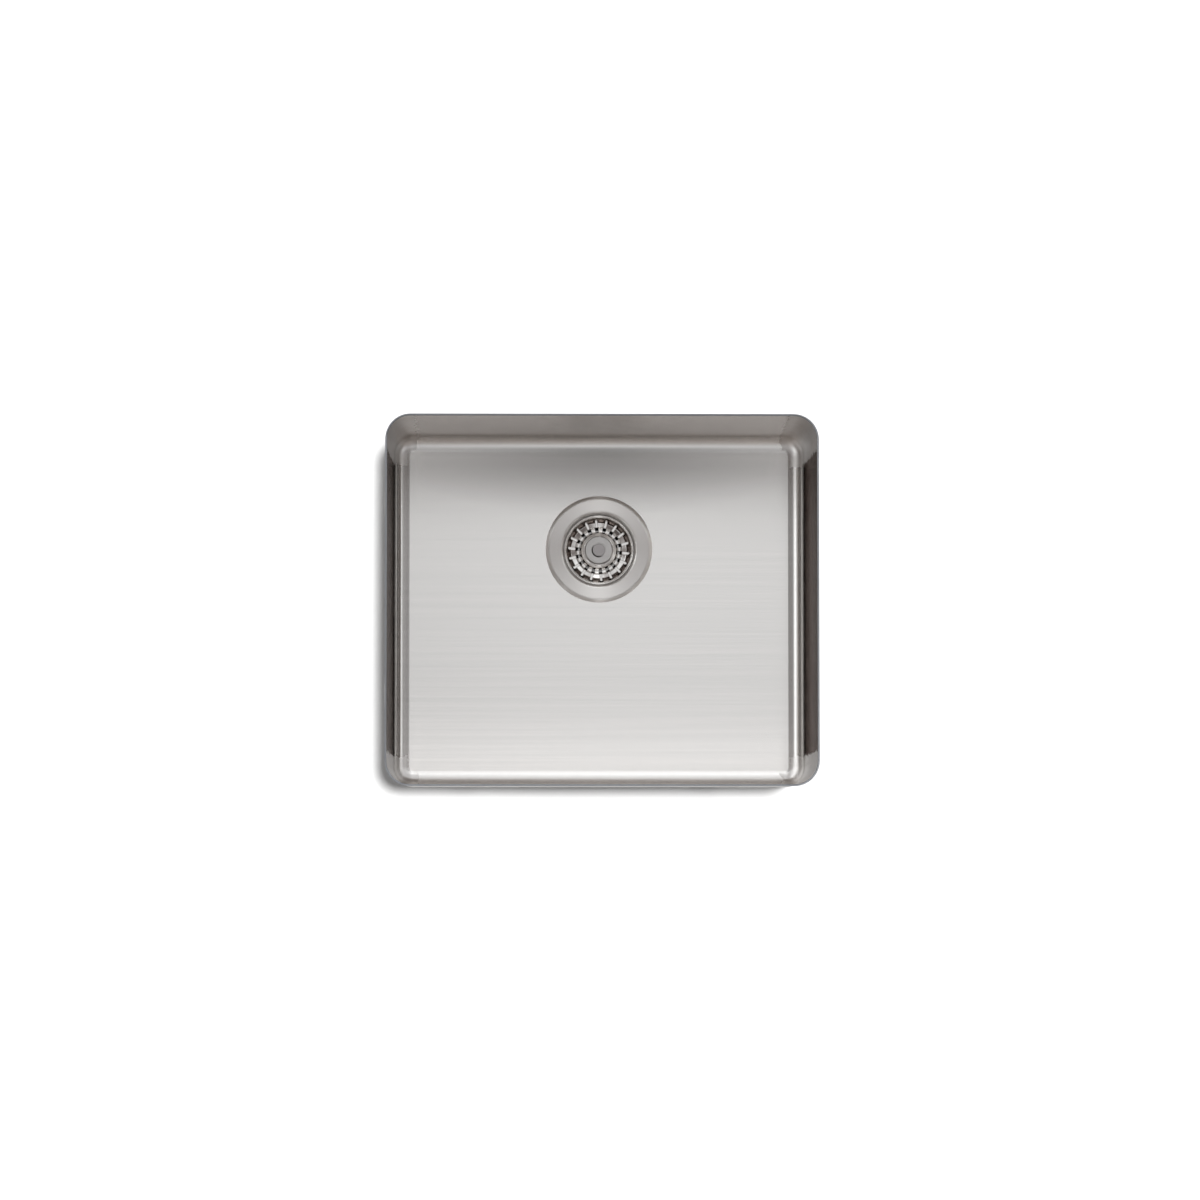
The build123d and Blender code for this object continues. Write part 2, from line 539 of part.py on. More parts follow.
# ---- Basket and its stem guide ----
def flute(grow):
    """One pressed flute along +X, grown by a margin: level and round-bottomed, and open above."""
    start = SHOULDER_R - FLUTE_FOOT_REACH
    end = WALL_TOP_R - FLUTE_WALL_INSET
    low = SHOULDER_Z - FLUTE_DEPTH - grow
    outline = SlotOverall(end - start + 2 * grow, FLUTE_WIDTH + 2 * grow)
    channel = Pos((start + end) / 2, 0, low) * extrude(outline, RIM_Z - low)
    return fillet(level_edges(channel, low), FLUTE_BEND + grow)


def basket_points():
    """Inner face of the basket's sheet, from the rolled rim to the hole for the stem guide."""
    return [
        (WALL_TOP_R, RIM_Z),
        (WALL_FOOT_R, WALL_FOOT_Z),
        (SHOULDER_R, SHOULDER_Z),
        (GROOVE_OUTER_R, GROOVE_Z),
        (GROOVE_INNER_R, GROOVE_Z),
        (BOSS_FOOT_R, BOSS_FOOT_Z),
        (BOSS_TOP_R, BOSS_TOP_Z),
        (GUIDE_R + GUIDE_FIT, BOSS_TOP_Z),
    ]


def basket_bends():
    """Bend radii at the inner points of that section, in the same order."""
    return [WALL_FOOT_BEND, SHOULDER_BEND, GROOVE_BEND, GROOVE_BEND, BOSS_BEND, BOSS_BEND]


def basket_hollow():
    """Everything above the basket's inner face, for trimming the flutes."""
    points = basket_points()
    face = FilletPolyline(*points, radius=basket_bends())
    high = RIM_Z + RIM_WIRE
    rest = Polyline(points[-1], (0, BOSS_TOP_Z), (0, high), (WALL_TOP_R, high), points[0])
    return revolve(Plane.XZ * make_face(face.edges() + rest.edges()), Axis.Z)


def make_basket():
    """Pressed basket: rolled rim, steep wall, fluted shoulder, ring groove with square holes, and boss."""
    basket = sheet_ring(basket_points(), basket_bends(), BASKET_SHEET)
    rim = Pos(0, 0, RIM_Z) * Torus(RIM_R, RIM_WIRE / 2)
    hollow = basket_hollow()
    outside = flute(BASKET_SHEET) - hollow
    inside = flute(0)
    slot_ring = (GROOVE_OUTER_R + GROOVE_INNER_R) / 2 + DRAIN_SLOT_INSET
    slot_height = SHOULDER_Z - GROOVE_Z + 2 * BASKET_SHEET
    slot = Pos(slot_ring, 0, GROOVE_Z) * Box(DRAIN_SLOT, DRAIN_SLOT, slot_height)
    turns = around(FLUTES, FLUTE_START_ANGLE)
    basket += [turn * outside for turn in turns]
    basket -= [turn * inside for turn in turns]
    basket -= [turn * slot for turn in turns]
    return basket + rim


def make_stem_guide():
    """Bush clinched in the top of the boss, in which the plunger stem slides."""
    top = BOSS_TOP_Z
    under = top - BASKET_SHEET
    guide = ring(0, GUIDE_R, top - GUIDE_LENGTH, top + GUIDE_FLANGE_THICKNESS)
    guide += ring(0, GUIDE_R + GUIDE_FLANGE_REACH, top, top + GUIDE_FLANGE_THICKNESS)
    guide += ring(0, GUIDE_R + GUIDE_FLANGE_REACH / 2, under - GUIDE_FLANGE_THICKNESS, under)
    return guide - ring(0, GUIDE_BORE_R, top - GUIDE_LENGTH, top + GUIDE_FLANGE_THICKNESS)


# ---- Plunger: knob, stem and stopper ----
def make_knob():
    """Turned knob, hollow below, with a finger groove round its side and a recess for the disc."""
    knob = ring(0, KNOB_R, KNOB_FOOT_Z, KNOB_TOP_Z)
    knob = chamfer(level_edges(knob, KNOB_TOP_Z), KNOB_BEVEL)
    waist_z = (KNOB_FOOT_Z + KNOB_TOP_Z) / 2
    knob -= Pos(0, 0, waist_z) * Torus(KNOB_R + KNOB_WAIST_RADIUS - KNOB_WAIST_DEPTH, KNOB_WAIST_RADIUS)
    knob -= ring(STEM_R + KNOB_SOCKET_WALL, KNOB_R - KNOB_WALL, KNOB_FOOT_Z, KNOB_TOP_Z - KNOB_WALL)
    guide_room = BOSS_TOP_Z + GUIDE_FLANGE_THICKNESS + KNOB_SEAT_GAP
    knob -= ring(0, KNOB_R - KNOB_WALL, KNOB_FOOT_Z, guide_room)
    knob -= ring(0, STEM_R + STEM_PRESS, guide_room, KNOB_TOP_Z)
    return knob - ring(0, DISC_DIAMETER / 2 + DISC_GAP, KNOB_TOP_Z - DISC_RECESS, KNOB_TOP_Z)


def make_knob_disc():
    """Plain disc in the middle of the knob, over the end of the stem."""
    high = KNOB_TOP_Z + DISC_PROUD
    disc = ring(0, DISC_DIAMETER / 2, KNOB_TOP_Z - DISC_RECESS, high)
    return chamfer(level_edges(disc, high), DISC_BEVEL)


def make_plunger_stem():
    """Stem from the knob, through the guide and the stopper, to the bolt's socket."""
    stem = ring(0, STEM_R, STEM_TIP_Z, KNOB_TOP_Z - DISC_RECESS)
    stem = chamfer(level_edges(stem, STEM_TIP_Z), STEM_TIP_CHAMFER)
    stem += ring(0, STEM_R + STEM_COLLAR_REACH, PLATE_TOP_Z, PLATE_TOP_Z + STEM_COLLAR_HEIGHT)
    stem -= ring(STEM_R - CLIP_GROOVE, STEM_R + CLIP_GROOVE, CLIP_FOOT_Z, CLIP_TOP_Z)
    ring_z = STEM_TIP_Z + STEM_RING_RISE
    return stem - ring(stem_ring_radius() - STEM_RING_WIRE / 2, STEM_R + STEM_RING_WIRE,
                       ring_z - STEM_RING_WIRE / 2, ring_z + STEM_RING_WIRE / 2)


def stem_ring_radius():
    """Middle of the ring's wire, from the stem's axis."""
    return SOCKET_R - STEM_RING_GAP - STEM_RING_WIRE / 2


def make_stem_ring():
    """Rubber ring near the stem's tip, which drags in the socket and holds the plunger where it is set."""
    return Pos(0, 0, STEM_TIP_Z + STEM_RING_RISE) * Torus(stem_ring_radius(), STEM_RING_WIRE / 2)


def make_stopper_plate():
    """Steel plate that stiffens the stopper from above."""
    plate_ring = ring(STEM_R + STEM_PRESS, STOPPER_PLATE_DIAMETER / 2, SEAL_TOP_Z, PLATE_TOP_Z)
    rim = max(level_edges(plate_ring, PLATE_TOP_Z), key=lambda edge: edge.length)
    return fillet(rim, STOPPER_PLATE_THICKNESS / 2)


def seal_radius(height):
    """Radius of the seal's edge: the conical seat at that height, less the seat gap square to the cone."""
    angle = radians(SEAT_ANGLE)
    return SEAT_FOOT_R + (height - SEAT_FOOT_Z) / tan(angle) - STOPPER_SEAT_GAP / sin(angle)


def make_stopper_seal():
    """Rubber stopper with a conical edge."""
    bore = STEM_R + STEM_PRESS
    return turned([(bore, SEAL_FOOT_Z), (seal_radius(SEAL_FOOT_Z), SEAL_FOOT_Z),
                   (seal_radius(SEAL_TOP_Z), SEAL_TOP_Z), (bore, SEAL_TOP_Z)])


def make_stopper_washer():
    """Steel washer under the stopper."""
    return ring(STEM_R + STEM_PRESS, STEM_R + STOPPER_WASHER_REACH, CLIP_TOP_Z, SEAL_FOOT_Z)


def make_stopper_clip():
    """Open clip in the stem's groove, which holds the stopper on."""
    clip = ring(STEM_R - CLIP_GROOVE + STEM_PRESS, STEM_R + CLIP_REACH, CLIP_FOOT_Z, CLIP_TOP_Z)
    reach = STEM_R + CLIP_REACH
    return clip - Pos(reach / 2, 0, CLIP_FOOT_Z + CLIP_THICKNESS / 2) * Box(reach, CLIP_MOUTH, 2 * CLIP_THICKNESS)


def main():
    os.makedirs("parts", exist_ok=True)
    save("sink_bowl", make_bowl())
    save_fixing_pads()
    save_deadeners()
    save_at_drain("waste_flange", make_waste_flange())
    save_at_drain("flange_seal", make_flange_seal())
    save_at_drain("body_gasket", make_body_gasket())
    save_at_drain("waste_body", make_waste_body())
    save_at_drain("bolt_cross", make_bolt_cross())
    save_at_drain("bolt_insert", make_bolt_insert())
    save_at_drain("centre_bolt", make_centre_bolt())
    save_at_drain("bolt_washer", make_bolt_washer())
    save_at_drain("basket", make_basket())
    save_at_drain("stem_guide", make_stem_guide())
    save_at_drain("knob", make_knob())
    save_at_drain("knob_disc", make_knob_disc())
    save_at_drain("plunger_stem", make_plunger_stem())
    save_at_drain("stem_ring", make_stem_ring())
    save_at_drain("stopper_plate", make_stopper_plate())
    save_at_drain("stopper_seal", make_stopper_seal())
    save_at_drain("stopper_washer", make_stopper_washer())
    save_at_drain("stopper_clip", make_stopper_clip())


main()
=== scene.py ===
# %% [markdown]
# # An undermount kitchen sink and its basket waste
# The sink is one bowl of brushed stainless steel that hangs under a worktop. In its floor sits a waste with
# a basket that lifts out and a knob that opens and closes the outlet. All the pieces come from the packed
# model at their real size, so this lesson is about the finish: which tool made each surface, which way its
# grain runs, and what light shows it.

# %% Load the model
from math import radians

import bpy
from mathutils import Matrix, Vector


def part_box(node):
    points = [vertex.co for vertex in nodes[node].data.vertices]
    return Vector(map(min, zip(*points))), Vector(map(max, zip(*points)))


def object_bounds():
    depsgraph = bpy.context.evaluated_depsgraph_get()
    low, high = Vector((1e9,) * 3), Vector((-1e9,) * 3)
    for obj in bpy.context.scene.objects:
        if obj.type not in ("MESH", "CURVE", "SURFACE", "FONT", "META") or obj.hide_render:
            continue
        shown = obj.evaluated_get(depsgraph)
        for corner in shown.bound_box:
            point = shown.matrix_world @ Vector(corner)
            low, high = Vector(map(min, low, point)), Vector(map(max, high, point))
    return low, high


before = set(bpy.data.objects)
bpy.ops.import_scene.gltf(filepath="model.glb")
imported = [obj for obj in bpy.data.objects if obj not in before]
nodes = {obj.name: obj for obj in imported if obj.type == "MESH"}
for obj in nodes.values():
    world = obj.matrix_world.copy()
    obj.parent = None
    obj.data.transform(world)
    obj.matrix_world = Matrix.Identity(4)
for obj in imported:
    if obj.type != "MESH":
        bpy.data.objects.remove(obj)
cad_low, cad_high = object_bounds()
print("pieces:", len(nodes), "box:", [round(1000 * side) for side in cad_high - cad_low], "mm")

# %% [markdown]
# ## Where things are
# Every finish here follows the real surfaces: the lathe marks go round the drain, the polish in the corners
# ends where the upright corners end. So the drain's middle is read from the model's own pieces once, and
# the materials below use it. A part of the bowl that has no piece of its own is given by its reach from the
# middle of the bowl, where the model has its zero.

# %% Places read from the pieces
ring_low, ring_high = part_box("waste_flange")
drain = (ring_low + ring_high) / 2
drain.z = 0
print("drain at", [round(1000 * part, 1) for part in drain], "mm")

# %% [markdown]
# ## Camera
# The picture looks straight down from a little in front and to the left of the middle, from more than five
# metres, with a long lens: that is why the walls show as thin bands. A camera that looks down has no
# natural "up", so its turn is built here from three axes, with the back of the sink at the top of the
# picture.

# %% Make the camera
CAMERA_PLACE = Vector((-0.093, -0.347, 5.402))
AIM = Vector((-0.0023, -0.0006, 0.0))
LENS = 156.2
SENSOR = 36.0
FAR_END = 100.0
TOP_OF_PICTURE = Vector((0, 1, 0))


def look_down(place, aim, top):
    """Turn of a camera at place that looks at aim, with the direction top upwards in the picture."""
    forward = (aim - place).normalized()
    side = forward.cross(top).normalized()
    return Matrix((side, side.cross(forward), -forward)).transposed().to_4x4()


camera = bpy.data.objects.new("camera", bpy.data.cameras.new("camera"))
camera.data.lens = LENS
camera.data.sensor_width = SENSOR
camera.data.clip_end = FAR_END
turn = look_down(CAMERA_PLACE, AIM, TOP_OF_PICTURE)
camera.matrix_world = Matrix.Translation(CAMERA_PLACE) @ turn
bpy.context.scene.collection.objects.link(camera)
bpy.context.scene.camera = camera
bpy.context.scene.view_settings.view_transform = "Standard"
print("camera", round((CAMERA_PLACE - AIM).length, 3), "m away")

# %% [markdown]
# ## Small helpers for node trees
# A finish is a tree of nodes. Placing each by hand takes four lines, so one helper adds a node, sets it up
# and joins its inputs. The others do sums, smooth steps and blends with it. A plain value goes on the
# socket itself, and another node's output gets a link.

# %% Node helpers
def add(tree, kind, inputs=None, **settings):
    """Adds a node. An input is given by name or number, as a plain value or as another node's output."""
    made = tree.nodes.new(kind)
    for key, value in settings.items():
        setattr(made, key, value)
    for key, value in (inputs or {}).items():
        if isinstance(value, bpy.types.NodeSocket):
            tree.links.new(value, made.inputs[key])
        else:
            made.inputs[key].default_value = value
    return made


def sums(tree, operation, *values):
    """One step of arithmetic on numbers or sockets."""
    return add(tree, "ShaderNodeMath", dict(enumerate(values)), operation=operation).outputs[0]


def vector_sums(tree, operation, *values):
    """One step of arithmetic on directions or places."""
    return add(tree, "ShaderNodeVectorMath", dict(enumerate(values)), operation=operation).outputs[0]


def ramp(tree, value, low, high, from_=0.0, to=1.0):
    """A smooth step from one value to another as the input goes from low to high."""
    limits = {"Value": value, "From Min": low, "From Max": high, "To Min": from_, "To Max": to}
    return add(tree, "ShaderNodeMapRange", limits, interpolation_type="SMOOTHSTEP").outputs[0]


def strip(tree, value, low, high, soft):
    """One between low and high, and nothing outside, with soft edges."""
    rise = ramp(tree, value, low - soft, low + soft)
    return sums(tree, "MULTIPLY", rise, ramp(tree, value, high - soft, high + soft, 1.0, 0.0))


def blend(tree, share, first, second):
    """Goes from the first number to the second as the share goes from 0 to 1."""
    return add(tree, "ShaderNodeMix", {0: share, 2: first, 3: second}, data_type="FLOAT").outputs[0]


def blend_colours(tree, share, first, second):
    """The same for two colours, each as three numbers or as a socket."""
    pair = [side if isinstance(side, bpy.types.NodeSocket) else (*side, 1.0) for side in (first, second)]
    return add(tree, "ShaderNodeMix", {0: share, 6: pair[0], 7: pair[1]}, data_type="RGBA").outputs[2]


def parts_of(tree, vector):
    """The three numbers of a place or direction, as sockets."""
    return add(tree, "ShaderNodeSeparateXYZ", {0: vector}).outputs


print("helpers ready")

# %% [markdown]
# ## The light round the sink
# Steel shows what is round it, so the studio matters more than the steel's own colour. Lamps could stand
# for the soft boxes, but each would be sampled on its own and leave grain. Here the world itself is painted
# as the room. One list says how bright it is by the angle to the right of straight up, the other by the
# angle to the back, and the two are multiplied, as if long soft boxes crossed each other overhead. The
# light and dark lines in the bends of the bowl are those boxes and the gaps between them. Nobody measured
# the room: the two lists were set and changed until the lines fell where the picture has them.

# %% How bright the room is, by angle
ACROSS = [
    (-90, 0.12), (-84, 0.10), (-77, 0.20), (-70, 0.25), (-65, 0.60), (-61, 1.30), (-53, 1.85), (-46, 1.50),
    (-40, 0.85), (-35, 0.45), (-25, 0.36), (-14, 0.36), (-5, 0.32), (-2.5, 1.12), (5, 1.12), (7, 0.90),
    (10, 0.38), (20, 0.42), (38, 0.46), (52, 0.55), (58, 0.70), (64, 1.50), (70, 1.50), (73, 0.30),
    (76, 0.08), (82, 0.08), (85, 0.50), (90, 0.50),
]
ALONG = [
    (-90, 1.00), (-72, 0.80), (-65, 0.30), (-58, 0.25), (-50, 0.80), (-38, 1.25), (-28, 1.05), (-21, 0.40),
    (-14, 0.20), (-8, 0.80), (-3, 1.42), (3, 0.72), (9, 0.30), (14, 1.70), (21, 2.50), (27, 2.00),
    (33, 1.00), (40, 1.10), (50, 1.50), (62, 1.90), (75, 1.90), (85, 1.40), (90, 1.20),
]


def profile(tree, angle, points):
    """Reads a brightness off a short list of (angle, brightness) points, from -90 to 90 degrees."""
    peak = max(bright for _, bright in points)
    share = sums(tree, "DIVIDE", sums(tree, "ADD", angle, 90.0), 180.0)
    curve = add(tree, "ShaderNodeValToRGB", {0: share})
    steps = curve.color_ramp.elements
    for step, (degrees, bright) in enumerate(points):
        place = (degrees + 90.0) / 180.0
        stop = steps[step] if step < 2 else steps.new(place)
        stop.position = place
        stop.color = (bright / peak, bright / peak, bright / peak, 1.0)
    return sums(tree, "MULTIPLY", curve.outputs[0], peak)


for side, points in (("across", ACROSS), ("along", ALONG)):
    print(side, "from", min(bright for _, bright in points), "to", max(bright for _, bright in points))

# %% [markdown]
# ## Painting the room
# The world's colour is worked out for each direction. Low down it is plain white all round, like the card
# the sink stands on. The dim parts of the room are slightly warm and the bright ones are neutral, which
# gives the steel its faint brown in the dark lines.

# %% Paint the studio into the world
HORIZON = 1.0
HORIZON_LOW = 6.0
HORIZON_HIGH = 18.0
SHADE_COLOUR = (1.0, 0.88, 0.84)
BOX_COLOUR = (1.0, 1.0, 1.0)
SHADE_LIGHT = 0.05
BOX_LIGHT = 0.70


def paint_studio(world):
    """Fills the world with the room and its soft boxes."""
    world.use_nodes = True
    tree = world.node_tree
    tree.nodes.clear()
    parts = parts_of(tree, add(tree, "ShaderNodeTexCoord").outputs["Generated"])
    across = sums(tree, "DEGREES", sums(tree, "ARCTAN2", parts[0], parts[2]))
    along = sums(tree, "DEGREES", sums(tree, "ARCTAN2", parts[1], parts[2]))
    up = sums(tree, "DEGREES", sums(tree, "ARCSINE", parts[2]))
    light = sums(tree, "MULTIPLY", profile(tree, across, ACROSS), profile(tree, along, ALONG))
    low_down = ramp(tree, up, HORIZON_LOW, HORIZON_HIGH, 1.0, 0.0)
    light = blend(tree, low_down, light, HORIZON)
    colour = blend_colours(tree, ramp(tree, light, SHADE_LIGHT, BOX_LIGHT), SHADE_COLOUR, BOX_COLOUR)
    background = add(tree, "ShaderNodeBackground", {"Color": colour, "Strength": light})
    output = add(tree, "ShaderNodeOutputWorld")
    tree.links.new(background.outputs[0], output.inputs["Surface"])


world = bpy.data.worlds.new("studio")
bpy.context.scene.world = world
paint_studio(world)
print("studio painted:", len(world.node_tree.nodes), "nodes")

# %% [markdown]
# ## The floor under it
# The sink stands on its outlet, on a wide pale floor. It could be a bright backdrop with no shadow, but then
# the sink would float. The floor's colour is a middle grey, because the lamp on it is strong: lit, it comes
# out white, and in the shadow it goes dark.

# %% Lay the floor
FLOOR_HALF = 30.0
FLOOR_TONE = 0.36
TOOTH_SCALE = 900.0


def lay_floor(height):
    """A wide flat sheet of pale card."""
    turns = ((-1, -1), (1, -1), (1, 1), (-1, 1))
    corners = [(x * FLOOR_HALF, y * FLOOR_HALF, height) for x, y in turns]
    mesh = bpy.data.meshes.new("floor")
    mesh.from_pydata(corners, [], [(0, 1, 2, 3)])
    card = bpy.data.objects.new("floor", mesh)
    bpy.context.scene.collection.objects.link(card)
    return card


def finish_card():
    """Pale card with a faint tooth."""
    material = bpy.data.materials.new("pale_card")
    material.use_nodes = True
    tree = material.node_tree
    bsdf = tree.nodes["Principled BSDF"]
    bsdf.inputs["Roughness"].default_value = 0.9
    bsdf.inputs["Specular IOR Level"].default_value = 0.0
    place = add(tree, "ShaderNodeTexCoord").outputs["Object"]
    settings = {"Vector": place, "Scale": TOOTH_SCALE, "Detail": 3.0}
    tooth = add(tree, "ShaderNodeTexNoise", settings).outputs["Fac"]
    tone = ramp(tree, tooth, 0.2, 0.8, FLOOR_TONE * 0.98, FLOOR_TONE * 1.02)
    grey = add(tree, "ShaderNodeCombineColor", {0: tone, 1: tone, 2: tone}).outputs[0]
    tree.links.new(grey, bsdf.inputs["Base Color"])
    return material


floor = lay_floor(cad_low.z)
floor.data.materials.append(finish_card())
print("floor at", round(1000 * cad_low.z, 1), "mm")

# %% [markdown]
# ## The shadow
# The picture has a narrow soft shadow on the left, so one lamp shines almost straight down, a little from the
# right. It lights the floor alone, through a light linking collection, so that it adds nothing to the steel
# while the steel still throws its shadow.

# %% Hang the floor's lamp
LAMP_TILT = 3.3
LAMP_STRENGTH = 9.4
LAMP_ANGLE = 3.5
LAMP_PLACE = (0.0, 0.0, 3.0)
lamp = bpy.data.objects.new("floor_lamp", bpy.data.lights.new("floor_lamp", "SUN"))
lamp.data.energy = LAMP_STRENGTH
lamp.data.angle = radians(LAMP_ANGLE)
lamp.location = LAMP_PLACE
lamp.rotation_euler = (0.0, radians(LAMP_TILT), 0.0)
bpy.context.scene.collection.objects.link(lamp)
lit_by_lamp = bpy.data.collections.new("lit_by_floor_lamp")
lit_by_lamp.objects.link(floor)
lamp.light_linking.receiver_collection = lit_by_lamp

# %% [markdown]
# ## How a finish starts
# Each finish below is one Principled shader. What is the same all over stays a plain number on its socket,
# and only what changes over the surface gets nodes. This helper makes the shader and gives the piece's own
# place, which stays with the piece when it moves. Noise keeps mostly to the middle of its range, so the
# steps below run between two values near its middle, and the whole of a finish gets used.

# %% Finish helpers
NOISE_SPAN = (0.3, 0.7)


def start_finish(name, colour, metal, roughness, **sockets):
    """A new material on a Principled shader: gives it, its tree, the shader and the place on the piece."""
    material = bpy.data.materials.new(name)
    material.use_nodes = True
    tree = material.node_tree
    bsdf = tree.nodes["Principled BSDF"]
    bsdf.inputs["Base Color"].default_value = (*colour, 1.0)
    bsdf.inputs["Metallic"].default_value = metal
    bsdf.inputs["Roughness"].default_value = roughness
    for socket, value in sockets.items():
        bsdf.inputs[socket.replace("_", " ")].default_value = value
    return material, tree, bsdf, add(tree, "ShaderNodeTexCoord").outputs["Object"]


def noise(tree, place, scale, detail=3.0, rough=0.5):
    """Cloudy noise, as one number."""
    settings = {"Vector": place, "Scale": scale, "Detail": detail, "Roughness": rough}
    return add(tree, "ShaderNodeTexNoise", settings).outputs["Fac"]


def stretched(tree, place, x, y, z):
    """The place with each direction scaled, so that noise on it turns into streaks."""
    return vector_sums(tree, "MULTIPLY", place, (x, y, z))


def tint(tree, bsdf, colour, amount, value):
    """Lets a value from 0 to 1 vary the colour by plus or minus an amount."""
    shade = ramp(tree, value, 0.25, 0.75, 1.0 - amount, 1.0 + amount)
    scaled = vector_sums(tree, "SCALE", colour)
    tree.links.new(shade, scaled.node.inputs["Scale"])
    tree.links.new(scaled, bsdf.inputs["Base Color"])


def bump(tree, bsdf, height, strength, distance):
    """Turns a height into fine relief."""
    relief = add(tree, "ShaderNodeBump", {"Height": height, "Strength": strength, "Distance": distance})
    tree.links.new(relief.outputs[0], bsdf.inputs["Normal"])


def put_on(material, *names):
    """Gives a finish to pieces, in place of their plain one."""
    for name in names:
        mesh = nodes[name].data
        mesh.materials.clear()
        mesh.materials.append(material)


print("finish helpers ready")

# %% [markdown]
# ## Brushed steel, straight grain
# The sheet was brushed on a belt before it was pressed, from left to right. So the scratches run along X on
# the floor and on the front and back walls, and up and down on the side walls. Scratches spread a
# reflection across themselves: on the floor it smears to the back and front, on the side walls lengthways.
# The shader spreads highlights along its tangent, so the tangent is the surface's normal crossed with the
# grain's axis. The tiny share of Z in that axis decides the direction where the wall faces straight along
# X. The scratches are noise stretched along the grain, fine ones mixed with broad ones.

# %% Grain and scratches
STEEL = (0.632, 0.626, 0.619)
GRAIN_AXIS = (1.0, 0.0, 0.06)
FLOOR_STREAKS = (4.0, 1300.0, 4.0)
END_STREAKS = (4.0, 4.0, 2600.0)
SIDE_STREAKS = (4.0, 2600.0, 4.0)
BROAD_STREAKS = (1.5, 150.0, 1.5)
FINE_SHARE = 0.7
BROAD_SHARE = 0.3


def grain_tangent(tree, bsdf, axis):
    """Sets the tangent square to a straight grain."""
    normal = add(tree, "ShaderNodeNewGeometry").outputs["Normal"]
    tree.links.new(vector_sums(tree, "CROSS_PRODUCT", normal, axis), bsdf.inputs["Tangent"])
    return normal


def scratches(tree, place, way):
    """The fine scratches of floor, ends and sides, and the same mixed with broad ones."""
    on_floor = noise(tree, stretched(tree, place, *FLOOR_STREAKS), 1.0, 3.0)
    on_ends = noise(tree, stretched(tree, place, *END_STREAKS), 1.0, 2.0)
    on_sides = noise(tree, stretched(tree, place, *SIDE_STREAKS), 1.0, 2.0)
    fine = blend(tree, way[0], blend(tree, way[1], on_floor, on_ends), on_sides)
    broad = noise(tree, stretched(tree, place, *BROAD_STREAKS), 1.0, 2.0)
    shares = (sums(tree, "MULTIPLY", fine, FINE_SHARE), sums(tree, "MULTIPLY", broad, BROAD_SHARE))
    return fine, sums(tree, "ADD", *shares)


print("scratches on the floor about", round(1000 / FLOOR_STREAKS[1], 1), "mm apart")

# %% [markdown]
# ## Corners polished by hand
# Pressing spoils the grain in the upright corners, so a polisher takes it out there by hand: the bends and
# the last stretch of each wall have no grain, while the level floor keeps its own. The patch is found by
# how far a place lies from the bowl's middle, to the side and to the end, with noise that makes its edge
# ragged.

# %% Find the polished corners
CORNER_SIDE = 0.196
CORNER_END = 0.157
CORNER_SOFT = 0.0004
CORNER_RAG = 0.014
RAG_SCALE = 90.0
LEVEL_FROM, LEVEL_TO = 0.97, 0.999


def past(tree, value, edge, soft):
    """One where the value is past an edge, with a soft step."""
    return ramp(tree, value, edge - soft, edge + soft)


def hand_polished(tree, place, way):
    """One where the corners were polished by hand: near an upright corner, but not on the level floor."""
    ragged = sums(tree, "SUBTRACT", noise(tree, place, RAG_SCALE, 3.0), 0.5)
    ragged = sums(tree, "MULTIPLY", ragged, CORNER_RAG)
    reach = parts_of(tree, vector_sums(tree, "ABSOLUTE", place))
    by_side = past(tree, sums(tree, "ADD", reach[0], ragged), CORNER_SIDE, CORNER_SOFT)
    by_end = past(tree, sums(tree, "ADD", reach[1], ragged), CORNER_END, CORNER_SOFT)
    corner = sums(tree, "MULTIPLY", by_side, by_end)
    return sums(tree, "MULTIPLY", corner, ramp(tree, way[2], LEVEL_FROM, LEVEL_TO, 1.0, 0.0))


print("corners polished beyond", round(1000 * CORNER_SIDE), "and", round(1000 * CORNER_END), "mm")

# %% [markdown]
# ## The outside, and the side walls in painted shade
# The outside was never brushed and keeps the mill's dull skin; its dark grey colour is also painted shade, so
# that the strip of outer wall seen under the lip goes with the shadow there. A face is outside if it looks
# away from a point above the middle of the bowl. Inside, the side walls are seen nearly edge on from high
# above. Any metal is close to a mirror at such an angle, whatever its colour, and yet they are dark in the
# picture. A dark edge tint on the shader gives that, as painted shade. It is a shortcut for the picture, and
# not how steel behaves.

# %% Find the outside and the side walls
ABOVE_MIDDLE = (0.0, 0.0, 0.5)
FACING_AWAY = -0.02
SIDEWAYS_FROM, SIDEWAYS_TO = 0.97, 0.998
WHITE = (1.0, 1.0, 1.0)
# Painted shade: a dark edge tint for the inner side walls.
SIDE_WALL_PAINTED_SHADE = (0.08, 0.03, 0.01)


def outside(tree, place, normal):
    """One on the faces that look away from the point above the bowl's middle."""
    to_middle = vector_sums(tree, "SUBTRACT", ABOVE_MIDDLE, place)
    towards = vector_sums(tree, "DOT_PRODUCT", normal, to_middle).node.outputs["Value"]
    return ramp(tree, towards, FACING_AWAY, 0.0, 1.0, 0.0)


def side_wall(tree, way, corner, skin):
    """One on the inner faces of the left and right walls, between the corners."""
    neither = sums(tree, "SUBTRACT", 1.0, sums(tree, "MAXIMUM", corner, skin))
    return sums(tree, "MULTIPLY", ramp(tree, way[0], SIDEWAYS_FROM, SIDEWAYS_TO), neither)


def paint_shade_on_side_walls(tree, bsdf, on_side):
    """Gives the side walls their dark edge tint, which is painted shade."""
    tree.links.new(blend_colours(tree, on_side, WHITE, SIDE_WALL_PAINTED_SHADE), bsdf.inputs["Specular Tint"])


print("edge tint of the side walls:", SIDE_WALL_PAINTED_SHADE)

# %% [markdown]
# ## Painted shade on the floor
# In the picture the floor is darker behind the drain and lighter towards the front. That could be the room
# seen in the steel, or a floor that was pressed a little hollow. The model's floor is flat, so that shade and
# light are painted into the steel's colour: painted shade behind the drain, painted light at the front. That
# is a shortcut too: it stays in its place when the light changes.

